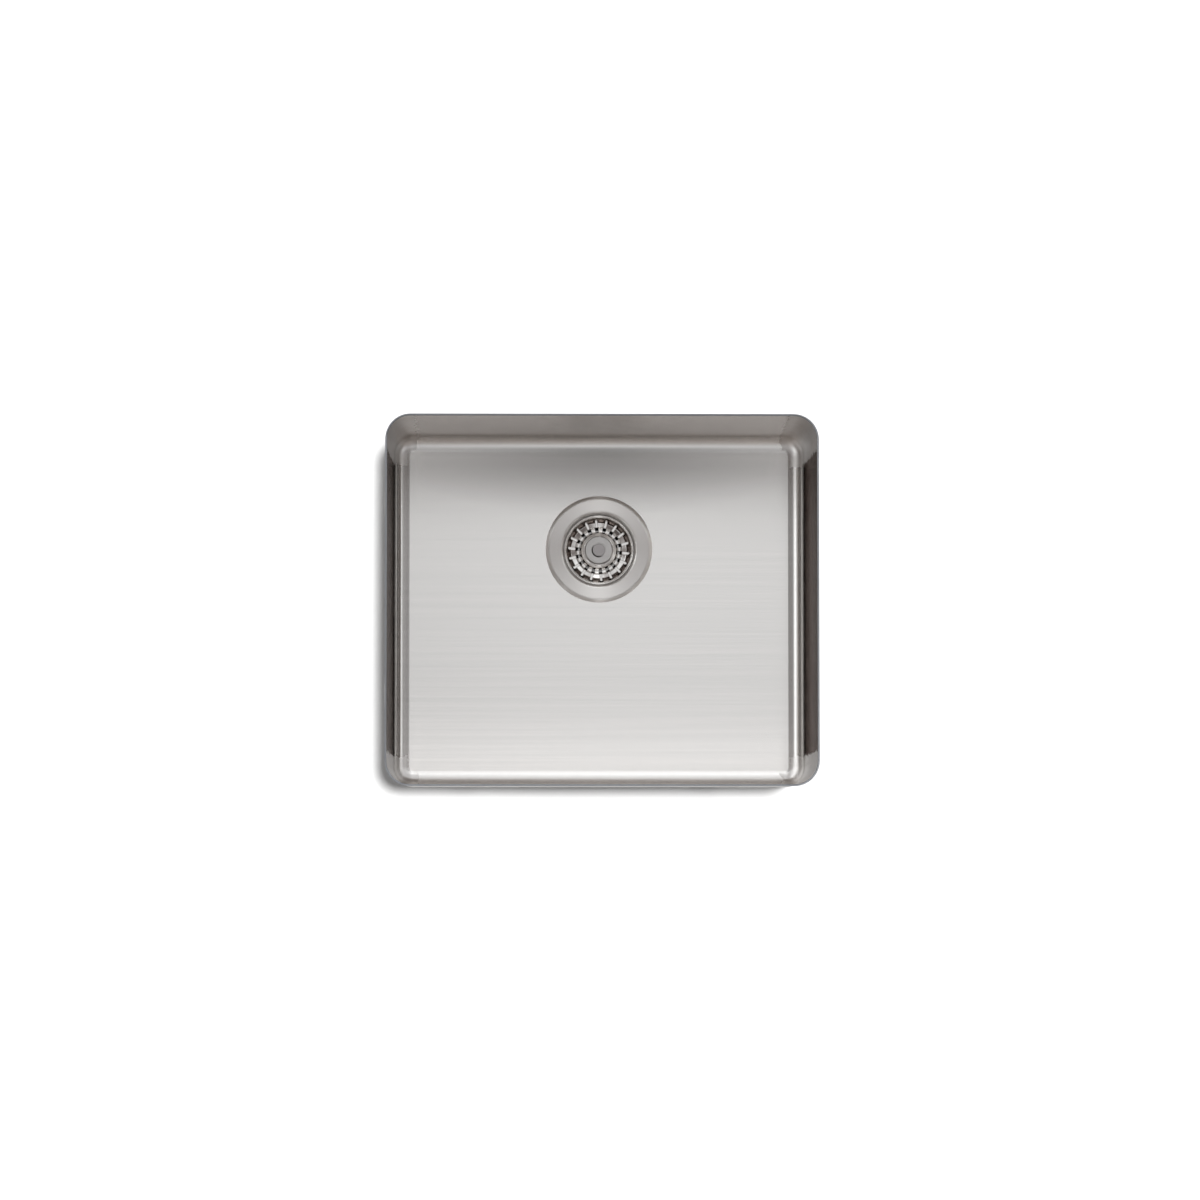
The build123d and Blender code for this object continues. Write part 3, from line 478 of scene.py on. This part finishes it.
# %% Paint shade and light on the floor
# Painted shade behind the drain and painted light at the front, put into the steel's colour.
PAINTED_SHADE_MIDDLE = (0.0, 0.178, -0.2)
PAINTED_SHADE_SPREAD = (1 / 0.24, 1 / 0.075, 0.0)
PAINTED_SHADE_TONE = 0.52
FRONT_PAINTED_LIGHT = 1.15
FRONT_FROM, FRONT_TO = -0.175, -0.06
FLAT_FROM = 0.90


def painted_floor_shade(tree, place, way):
    """Painted shade behind the drain and painted light towards the front, on the level floor alone."""
    away = vector_sums(tree, "MULTIPLY", vector_sums(tree, "SUBTRACT", place, PAINTED_SHADE_MIDDLE), PAINTED_SHADE_SPREAD)
    reach = vector_sums(tree, "LENGTH", away).node.outputs["Value"]
    limits = {"Value": reach, "From Min": 0.0, "From Max": 1.0, "To Min": PAINTED_SHADE_TONE, "To Max": 1.0}
    shade_behind_drain = add(tree, "ShaderNodeMapRange", limits).outputs[0]
    front = ramp(tree, parts_of(tree, place)[1], FRONT_FROM, FRONT_TO, FRONT_PAINTED_LIGHT, 1.0)
    tone = sums(tree, "MULTIPLY", shade_behind_drain, front)
    return blend(tree, ramp(tree, way[2], FLAT_FROM, LEVEL_TO), 1.0, tone)


print("floor tones from", PAINTED_SHADE_TONE, "to", FRONT_PAINTED_LIGHT)

# %% [markdown]
# ## The colour of the brushed sheet
# Steel has a colour of its own, and everything else multiplies it: the scratches by a few hundredths, the
# floor's painted shade and light, and the corners, brighter in painted light. The side walls and the end walls
# are slightly darker and warmer than the floor, which is painted shade. In the picture the side walls have
# long lines from front to back, the room drawn out by the grain. Here they are painted reflections, which look
# right from straight above. From low down behind, such a wall looks more like dark wood than like steel.

# %% Mix the brushed colour
# Painted shade: the side walls and the end walls are made darker and warmer than the floor.
SIDE_SHADE = (0.90, 0.86, 0.83)
END_SHADE = (0.98, 0.925, 0.885)
END_FROM, END_TO = 0.30, 0.99
# The long lines are painted reflections.
LINE_SCALE = (800.0, 1.5, 260.0)
LINE_SPAN = (0.32, 0.68)
LINE_TONES = (0.78, 1.22)
LINED_FROM, LINED_TO = 0.25, 0.6
SCRATCH_TONES = (0.965, 1.035)
# Painted light: the hand-polished corners are made brighter in colour; their roughness is their own.
CORNER_PAINTED_LIGHT = 1.20


def painted_reflection_lines(tree, place, way, corner):
    """Painted reflections: uneven lines from front to back on the side walls and their bends, and none in the
    corners.
    """
    lines = noise(tree, stretched(tree, place, *LINE_SCALE), 1.0, 3.0)
    lines = ramp(tree, lines, *LINE_SPAN, *LINE_TONES)
    sideways = ramp(tree, way[0], LINED_FROM, LINED_TO)
    share = sums(tree, "MULTIPLY", sideways, sums(tree, "SUBTRACT", 1.0, corner))
    return blend(tree, share, 1.0, lines)


def brushed_colour(tree, both, place, way, corner, on_side):
    """The grain's light and dark, the painted reflection lines, the floor's painted shade and light, the
    corners in painted light and the walls in painted shade.
    """
    brushed = vector_sums(tree, "SCALE", STEEL)
    scratch = ramp(tree, both, *NOISE_SPAN, *SCRATCH_TONES)
    grain = sums(tree, "MULTIPLY", scratch, painted_reflection_lines(tree, place, way, corner))
    grain = sums(tree, "MULTIPLY", grain, painted_floor_shade(tree, place, way))
    grain = sums(tree, "MULTIPLY", grain, blend(tree, corner, 1.0, CORNER_PAINTED_LIGHT))
    tree.links.new(grain, brushed.node.inputs["Scale"])
    shade = blend_colours(tree, on_side, WHITE, SIDE_SHADE)
    shade = blend_colours(tree, ramp(tree, way[1], END_FROM, END_TO), shade, END_SHADE)
    return vector_sums(tree, "MULTIPLY", brushed, shade)


print("long lines from", LINE_TONES[0], "to", LINE_TONES[1], "times the steel's colour")

# %% [markdown]
# ## One sheet, one material
# The lip is given a dark bluish grey, painted shade that keeps it dark from above. The grain, the corners,
# the lip and the mill skin go into one material, because they are one sheet: each has its own colour and
# roughness, and a number from 0 to 1 says where it is. Only the brushed part has its highlight stretched.

# %% Make the bowl's finish
GRAIN_ROUGHNESS = 0.255
GRAIN_SWING = 0.015
GRAIN_SPREAD = 0.95
CORNER_ROUGHNESS = 0.36
CORNER_SWING = 0.07
LIP_DEPTH = 0.0013
LIP_SOFT = 0.0004
# Painted shade: the lip's dark bluish grey.
LIP_PAINTED_SHADE = (0.34, 0.355, 0.38)
LIP_ROUGHNESS = 0.40
# The outside's dull skin is real, but its dark grey is partly painted shade, to go with the shadow under the
# lip.
MILL_SKIN_AND_SHADE = (0.30, 0.295, 0.285)
MILL_CLOUD_AND_SHADE = tuple(part * 0.88 for part in MILL_SKIN_AND_SHADE)
MILL_ROUGHNESS = 0.44
CLOUD_SCALE = 14.0
MOTTLE_SCALE = 70.0


def finish_bowl():
    """Belt-brushed sheet with hand-polished corners, a lip in painted shade, and a mill skin outside, partly
    painted shade.
    """
    material, tree, bsdf, place = start_finish("belt_brushed_steel", STEEL, 1.0, GRAIN_ROUGHNESS)
    normal = grain_tangent(tree, bsdf, GRAIN_AXIS)
    way = parts_of(tree, vector_sums(tree, "ABSOLUTE", normal))
    fine, both = scratches(tree, place, way)
    corner = hand_polished(tree, place, way)
    skin = outside(tree, place, normal)
    on_side = side_wall(tree, way, corner, skin)
    paint_shade_on_side_walls(tree, bsdf, on_side)
    lip = past(tree, parts_of(tree, place)[2], -LIP_DEPTH, LIP_SOFT)
    cloud = noise(tree, place, CLOUD_SCALE, 5.0)
    inner = brushed_colour(tree, both, place, way, corner, on_side)
    inner = blend_colours(tree, lip, inner, LIP_PAINTED_SHADE)
    rolled = blend_colours(tree, ramp(tree, cloud, *NOISE_SPAN), MILL_SKIN_AND_SHADE, MILL_CLOUD_AND_SHADE)
    tree.links.new(blend_colours(tree, skin, inner, rolled), bsdf.inputs["Base Color"])
    swing = (GRAIN_ROUGHNESS - GRAIN_SWING, GRAIN_ROUGHNESS + GRAIN_SWING)
    rough = ramp(tree, both, *NOISE_SPAN, *swing)
    mottle = ramp(tree, noise(tree, place, MOTTLE_SCALE, 4.0), *NOISE_SPAN)
    polished = sums(tree, "MULTIPLY", mottle, 2 * CORNER_SWING)
    polished = sums(tree, "ADD", polished, CORNER_ROUGHNESS - CORNER_SWING)
    rough = blend(tree, lip, blend(tree, corner, rough, polished), LIP_ROUGHNESS)
    milled = ramp(tree, cloud, *NOISE_SPAN, MILL_ROUGHNESS, MILL_ROUGHNESS + 0.1)
    tree.links.new(blend(tree, skin, rough, milled), bsdf.inputs["Roughness"])
    no_grain = sums(tree, "MAXIMUM", sums(tree, "MAXIMUM", corner, skin), lip)
    tree.links.new(blend(tree, no_grain, GRAIN_SPREAD, 0.0), bsdf.inputs["Anisotropic"])
    bump(tree, bsdf, fine, 0.05, 0.00002)
    return material


put_on(finish_bowl(), "sink_bowl")
print("bowl brushed:", len(nodes["sink_bowl"].data.materials[0].node_tree.nodes), "nodes")

# %% [markdown]
# ## Metal with its marks round the drain
# The ring was spun, so its fine lines are circles about the drain. Its tangent points outwards from the
# drain's axis, found by crossing the circle's direction with the normal. The stem and the bolt are turned
# bright, and so are the brass guide and insert. Each takes the same finish with its own colour, roughness
# and fineness of mark.

# %% Round marks
MARKS_SWING = 0.07
LEVEL_ONLY = (1.0, 1.0, 0.0)
UPRIGHT = (0.0, 0.0, 1.0)


def outward(tree, place):
    """Direction from the drain's upright axis to the point, level."""
    away = vector_sums(tree, "SUBTRACT", place, tuple(drain))
    return vector_sums(tree, "MULTIPLY", away, LEVEL_ONLY)


def reach_from_drain(tree, place):
    """Distance from the drain's upright axis."""
    return vector_sums(tree, "LENGTH", outward(tree, place)).node.outputs["Value"]


def round_tangent(tree, bsdf, place):
    """Sets the tangent square to circular marks about the drain."""
    circle = vector_sums(tree, "CROSS_PRODUCT", UPRIGHT, outward(tree, place))
    normal = add(tree, "ShaderNodeNewGeometry").outputs["Normal"]
    tree.links.new(vector_sums(tree, "CROSS_PRODUCT", normal, circle), bsdf.inputs["Tangent"])


def ring_marks(tree, place, fineness):
    """Streaks that run round the drain: noise that changes with radius and height alone."""
    flat = {0: reach_from_drain(tree, place), 1: 0.0, 2: parts_of(tree, place)[2]}
    return noise(tree, add(tree, "ShaderNodeCombineXYZ", flat).outputs[0], fineness, 4.0, 0.6)


def finish_turned(name, colour, roughness, spread, fineness, amount):
    """Metal turned or spun about the drain's axis."""
    material, tree, bsdf, place = start_finish(name, colour, 1.0, roughness, Anisotropic=spread)
    round_tangent(tree, bsdf, place)
    marks = ring_marks(tree, place, fineness)
    tint(tree, bsdf, colour, amount, marks)
    swing = (roughness * (1 - MARKS_SWING), roughness * (1 + MARKS_SWING))
    tree.links.new(ramp(tree, marks, *NOISE_SPAN, *swing), bsdf.inputs["Roughness"])
    bump(tree, bsdf, marks, 0.05, 0.00002)
    return material


print("round marks ready")

# %% [markdown]
# ## The turned pieces
# Only the ring can be seen with the basket in place, so its colour and its spread of light matter most. The
# others are seen when the basket is out, or from below.

# %% Put the round marks on the turned pieces
RING_STEEL = (0.76, 0.748, 0.735)
STEM_STEEL = (0.60, 0.59, 0.58)
BOLT_STEEL = (0.56, 0.55, 0.54)
GUIDE_BRASS = (0.72, 0.52, 0.26)
INSERT_BRASS = (0.70, 0.50, 0.25)

put_on(finish_turned("spun_ring_steel", RING_STEEL, 0.32, 0.75, 2600.0, 0.02), "waste_flange")
put_on(finish_turned("turned_stem_steel", STEM_STEEL, 0.18, 0.6, 5200.0, 0.05), "plunger_stem")
put_on(finish_turned("turned_bolt_steel", BOLT_STEEL, 0.24, 0.6, 4200.0, 0.05), "centre_bolt")
put_on(finish_turned("turned_guide_brass", GUIDE_BRASS, 0.24, 0.5, 4200.0, 0.06), "stem_guide")
put_on(finish_turned("turned_insert_brass", INSERT_BRASS, 0.32, 0.5, 3600.0, 0.06), "bolt_insert")
print("turned pieces done: 5")

# %% [markdown]
# ## Pressed steel
# The stopper's plate, its washer and its clip are pressed from rolled sheet. They are bright, with faint
# clouds and hair scratches. Clouds in the roughness do most of it; the scratches are bump alone.

# %% Make the pressed finish
PRESSED_CLOUD = 180.0
HAIR = (500.0, 4500.0, 500.0)
PLATE_STEEL = (0.58, 0.575, 0.565)
CLIP_STEEL = (0.42, 0.40, 0.38)


def hair_scratches(tree, place):
    """Very fine short scratches, as noise."""
    return noise(tree, stretched(tree, place, *HAIR), 1.0, 2.0)


def finish_pressed(name, colour, roughness, wear):
    """Bright pressed steel: nearly a mirror, with faint clouds and hair scratches."""
    material, tree, bsdf, place = start_finish(name, colour, 1.0, roughness)
    cloud = noise(tree, place, PRESSED_CLOUD, 4.0)
    tint(tree, bsdf, colour, 0.03, cloud)
    swing = (roughness - wear, roughness + wear)
    tree.links.new(ramp(tree, cloud, *NOISE_SPAN, *swing), bsdf.inputs["Roughness"])
    bump(tree, bsdf, hair_scratches(tree, place), 0.05, 0.00003)
    return material


put_on(finish_pressed("rolled_plate_steel", PLATE_STEEL, 0.28, 0.05), "stopper_plate", "stopper_washer")
put_on(finish_pressed("sprung_clip_steel", CLIP_STEEL, 0.30, 0.05), "stopper_clip")
print("pressed pieces done: 3")

# %% [markdown]
# ## The basket
# The basket is drawn deep out of flat sheet and polished. Its steep wall is brown in the picture, so the
# wall gets a painted reflection: a dark brown colour with streaks that run up and down. The wall is
# found by its height and by how steeply it stands. The rest is bright, and mirrors the room.

# %% Make the basket's finish
BASKET_STEEL = (0.86, 0.85, 0.835)
# Painted reflection: the steep wall's dark brown.
WALL_PAINTED_REFLECTION = (0.24, 0.20, 0.18)
DRAWN_FROM, DRAWN_TO = -0.2203, -0.2107
DRAWN_SOFT = 0.0004
STEEP_FROM, STEEP_TO = 0.55, 0.75
WALL_STREAKS = (900.0, 900.0, 60.0)
WALL_STREAK_TONES = (0.85, 1.15)


def reflection_wall_share(tree, place):
    """One on the steep wall, where the painted reflection goes."""
    normal = add(tree, "ShaderNodeNewGeometry").outputs["Normal"]
    steep = ramp(tree, parts_of(tree, normal)[2], STEEP_FROM, STEEP_TO, 1.0, 0.0)
    height = parts_of(tree, place)[2]
    return sums(tree, "MULTIPLY", steep, strip(tree, height, DRAWN_FROM, DRAWN_TO, DRAWN_SOFT))


def finish_basket():
    """Polished steel, with a painted reflection on the steep wall: dark brown, in streaks that run up and
    down.
    """
    material, tree, bsdf, place = start_finish("polished_basket_steel", BASKET_STEEL, 1.0, 0.12)
    cloud = noise(tree, place, PRESSED_CLOUD, 4.0)
    wall_streak = noise(tree, stretched(tree, place, *WALL_STREAKS), 1.0, 2.0)
    reflected_wall = vector_sums(tree, "SCALE", WALL_PAINTED_REFLECTION)
    tree.links.new(ramp(tree, wall_streak, *NOISE_SPAN, *WALL_STREAK_TONES), reflected_wall.node.inputs["Scale"])
    colour = blend_colours(tree, reflection_wall_share(tree, place), BASKET_STEEL, reflected_wall)
    tree.links.new(colour, bsdf.inputs["Base Color"])
    tree.links.new(ramp(tree, cloud, *NOISE_SPAN, 0.09, 0.16), bsdf.inputs["Roughness"])
    bump(tree, bsdf, hair_scratches(tree, place), 0.03, 0.00002)
    return material


put_on(finish_basket(), "basket")
print("basket polished, brown from", round(1000 * DRAWN_FROM, 1), "to", round(1000 * DRAWN_TO, 1), "mm")

# %% [markdown]
# ## The knob and its disc
# Both are blasted to an even dull grey. The picture has a dark crescent in the groove round the disc, on
# the front left. It is painted shade here: a dark colour in the groove, on that side. It is taken for
# grime here and given a dark colour, though it may be no more than a shadow.

# %% Make the blasted finish
KNOB_STEEL = (0.60, 0.595, 0.59)
DISC_STEEL = (0.47, 0.455, 0.46)
# Painted shade in the groove round the disc, on the front left.
GROOVE_PAINTED_SHADE = (0.03, 0.028, 0.025)
GROOVE_SHADE_SIDE = (-0.75, -0.66, 0.0)
GROOVE_REACH = (0.0066, 0.0080)
GROOVE_SOFT = 0.0001
GRIT_SCALE = 3800.0


def painted_groove_shade(tree, place, amount):
    """How much painted shade lies in the groove round the disc: most of it on one side."""
    groove = strip(tree, reach_from_drain(tree, place), *GROOVE_REACH, GROOVE_SOFT)
    towards = vector_sums(tree, "DOT_PRODUCT", outward(tree, place), GROOVE_SHADE_SIDE).node.outputs["Value"]
    return sums(tree, "MULTIPLY", groove, ramp(tree, towards, -0.002, 0.006, 0.0, amount))


def finish_blasted(name, colour, roughness, groove_shade=0.0):
    """Steel blasted to an even dull grey, with painted shade on one side of the groove round the disc."""
    material, tree, bsdf, place = start_finish(name, colour, 1.0, roughness)
    grit = noise(tree, place, GRIT_SCALE, 2.0)
    cloud = noise(tree, place, 300.0, 3.0)
    mixed = sums(tree, "MULTIPLY", sums(tree, "ADD", grit, cloud), 0.5)
    shaded = vector_sums(tree, "SCALE", colour)
    tree.links.new(ramp(tree, mixed, 0.25, 0.75, 0.95, 1.05), shaded.node.inputs["Scale"])
    groove_shaded = blend_colours(tree, painted_groove_shade(tree, place, groove_shade), shaded, GROOVE_PAINTED_SHADE)
    tree.links.new(groove_shaded, bsdf.inputs["Base Color"])
    swing = (roughness * 0.9, roughness * 1.1)
    tree.links.new(ramp(tree, cloud, *NOISE_SPAN, *swing), bsdf.inputs["Roughness"])
    bump(tree, bsdf, grit, 0.25, 0.00005)
    return material


put_on(finish_blasted("blasted_knob_steel", KNOB_STEEL, 0.40, 1.0), "knob")
put_on(finish_blasted("blasted_disc_steel", DISC_STEEL, 0.42), "knob_disc")
print("knob and disc blasted")

# %% [markdown]
# ## Fixing pads with their weld tint
# The pads are short pieces of rolled strip, spot welded to the walls. Heat leaves a straw and blue ring
# round each weld. The rings lie at the same reach from the middle of every pad, so each pad gets its own
# copy of the finish, with its middle read from the model.

# %% Make the pads' finish
PAD_STEEL = (0.50, 0.49, 0.475)
WELD_REACH = 0.009
TINT_INNER, TINT_OUTER = 0.0022, 0.0052
TINT_MIDDLE = (TINT_INNER + TINT_OUTER) / 2
TINT_RAG = 0.0012
STRAW = (0.50, 0.40, 0.24)
BLUE = (0.22, 0.25, 0.36)
STRIP_ROLLING = (40.0, 40.0, 1600.0)


def weld_rings(tree, place, low, high):
    """Distance from the nearer of a pad's two welds."""
    middle = (low + high) / 2
    along = Vector((1, 0, 0)) if high.x - low.x > high.y - low.y else Vector((0, 1, 0))
    near = []
    for side in (-1, 1):
        away = vector_sums(tree, "SUBTRACT", place, tuple(middle + along * side * WELD_REACH))
        near.append(vector_sums(tree, "LENGTH", away).node.outputs["Value"])
    return sums(tree, "MINIMUM", *near)


def finish_pad(name):
    """Rolled strip with heat tint round its welds."""
    material, tree, bsdf, place = start_finish("rolled_" + name, PAD_STEEL, 1.0, 0.38)
    away = weld_rings(tree, place, *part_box(name))
    ragged = sums(tree, "ADD", away, sums(tree, "MULTIPLY", noise(tree, place, 700.0), TINT_RAG))
    straw = strip(tree, ragged, TINT_INNER, TINT_OUTER, 0.0008)
    blue = strip(tree, ragged, TINT_INNER, TINT_MIDDLE, 0.0006)
    tinted = blend_colours(tree, blue, blend_colours(tree, straw, PAD_STEEL, STRAW), BLUE)
    tree.links.new(tinted, bsdf.inputs["Base Color"])
    rolled = noise(tree, stretched(tree, place, *STRIP_ROLLING), 1.0)
    tree.links.new(ramp(tree, rolled, *NOISE_SPAN, 0.32, 0.45), bsdf.inputs["Roughness"])
    bump(tree, bsdf, rolled, 0.15, 0.00005)
    return material


pads = [name for name in nodes if name.startswith("fixing_pad_")]
for name in pads:
    put_on(finish_pad(name), name)
print("fixing pads:", len(pads))

# %% [markdown]
# ## Rubber, foam and fibre
# The sound pads are heavy rubber sheet with a fine pebbled skin that takes a little grey dust on its high
# spots. The seals are the same kind of stuff, smoother and blacker. The fibre washer is dull red.

# %% Make the rubber finish
DUST_SCALE = 38.0
SOUND_PADS = ("sound_pad_left", "sound_pad_right", "sound_pad_back", "sound_pad_floor")
SHEET_BLACK = (0.045, 0.045, 0.048)
GASKET_BLACK = (0.028, 0.028, 0.030)
FOAM_BLACK = (0.040, 0.040, 0.040)
STOPPER_BLACK = (0.020, 0.020, 0.021)
FIBRE_RED = (0.30, 0.075, 0.045)


def finish_rubber(name, colour, roughness, pebble, depth, dust):
    """Dull rubber with a pebbled skin, and dust on its high spots."""
    material, tree, bsdf, place = start_finish(name, colour, 0.0, roughness, Specular_IOR_Level=0.35)
    grain = add(tree, "ShaderNodeTexVoronoi", {"Vector": place, "Scale": pebble}).outputs["Distance"]
    cloud = noise(tree, place, DUST_SCALE, 5.0)
    high = ramp(tree, grain, 0.0, 0.7, 1.0, 0.0)
    dusty = sums(tree, "MULTIPLY", high, ramp(tree, cloud, 0.35, 0.75, 0.0, dust))
    grey = tuple(part * 0.4 + 0.22 for part in colour)
    tree.links.new(blend_colours(tree, dusty, colour, grey), bsdf.inputs["Base Color"])
    swing = (roughness - 0.06, roughness + 0.08)
    tree.links.new(ramp(tree, cloud, *NOISE_SPAN, *swing), bsdf.inputs["Roughness"])
    bump(tree, bsdf, high, 0.5, depth)
    return material


print("rubber finish ready")

# %% [markdown]
# ## The soft pieces
# The same finish serves all of them. The sound pads have a coarse pebble and the most dust, the seals a fine
# one and hardly any, and the fibre washer has a matt red of its own.

# %% Put it on the soft pieces
put_on(finish_rubber("sound_pad_rubber", SHEET_BLACK, 0.72, 620.0, 0.0003, 0.55), *SOUND_PADS)
put_on(finish_rubber("gasket_rubber", GASKET_BLACK, 0.60, 1500.0, 0.00008, 0.30), "body_gasket")
put_on(finish_rubber("seal_foam", FOAM_BLACK, 0.85, 2200.0, 0.00012, 0.20), "flange_seal")
stopper_rubber = finish_rubber("stopper_rubber", STOPPER_BLACK, 0.48, 1800.0, 0.00005, 0.10)
put_on(stopper_rubber, "stopper_seal", "stem_ring")
put_on(finish_rubber("washer_fibre", FIBRE_RED, 0.80, 2600.0, 0.00008, 0.15), "bolt_washer")
print("soft pieces done:", len(SOUND_PADS) + 5)

# %% [markdown]
# ## Moulded plastic
# The cup and the cross in it are moulded in pale grey plastic. A mould leaves a satin skin with very fine
# texture, slightly duller patches where the plastic flowed, and a hair line where its halves meet.

# %% Make the plastic finish
CUP_GREY = (0.60, 0.605, 0.60)
SKIN_SCALE = 2400.0
FLOW_SCALE = 26.0
SKIN_SHARE = 0.25
SEAM_FROM, SEAM_TO = 0.00008, 0.00025


def finish_moulded():
    """Satin moulded plastic."""
    started = start_finish("moulded_cup_plastic", CUP_GREY, 0.0, 0.42, Specular_IOR_Level=0.45)
    material, tree, bsdf, place = started
    skin = noise(tree, place, SKIN_SCALE, 2.0)
    flow = noise(tree, place, FLOW_SCALE, 4.0)
    tint(tree, bsdf, CUP_GREY, 0.05, flow)
    tree.links.new(ramp(tree, flow, *NOISE_SPAN, 0.36, 0.50), bsdf.inputs["Roughness"])
    from_seam = sums(tree, "ABSOLUTE", parts_of(tree, place)[0])
    seam = ramp(tree, from_seam, SEAM_FROM, SEAM_TO, 1.0, 0.0)
    relief = sums(tree, "ADD", sums(tree, "MULTIPLY", skin, SKIN_SHARE), seam)
    bump(tree, bsdf, relief, 0.4, 0.00012)
    return material


put_on(finish_moulded(), "waste_body", "bolt_cross")
print("plastic pieces done: 2")

# %% [markdown]
# ## Every piece has a finish
# A piece that is forgotten would keep the plain grey it came with, and nobody would see it inside the
# waste. So the pieces are counted.

# %% Count the finishes
def has_relief(name):
    """Every finish here ends in a bump, which the plain grey doesn't have."""
    return "Bump" in nodes[name].data.materials[0].node_tree.nodes


print("pieces without a finish:", [name for name in nodes if not has_relief(name)])
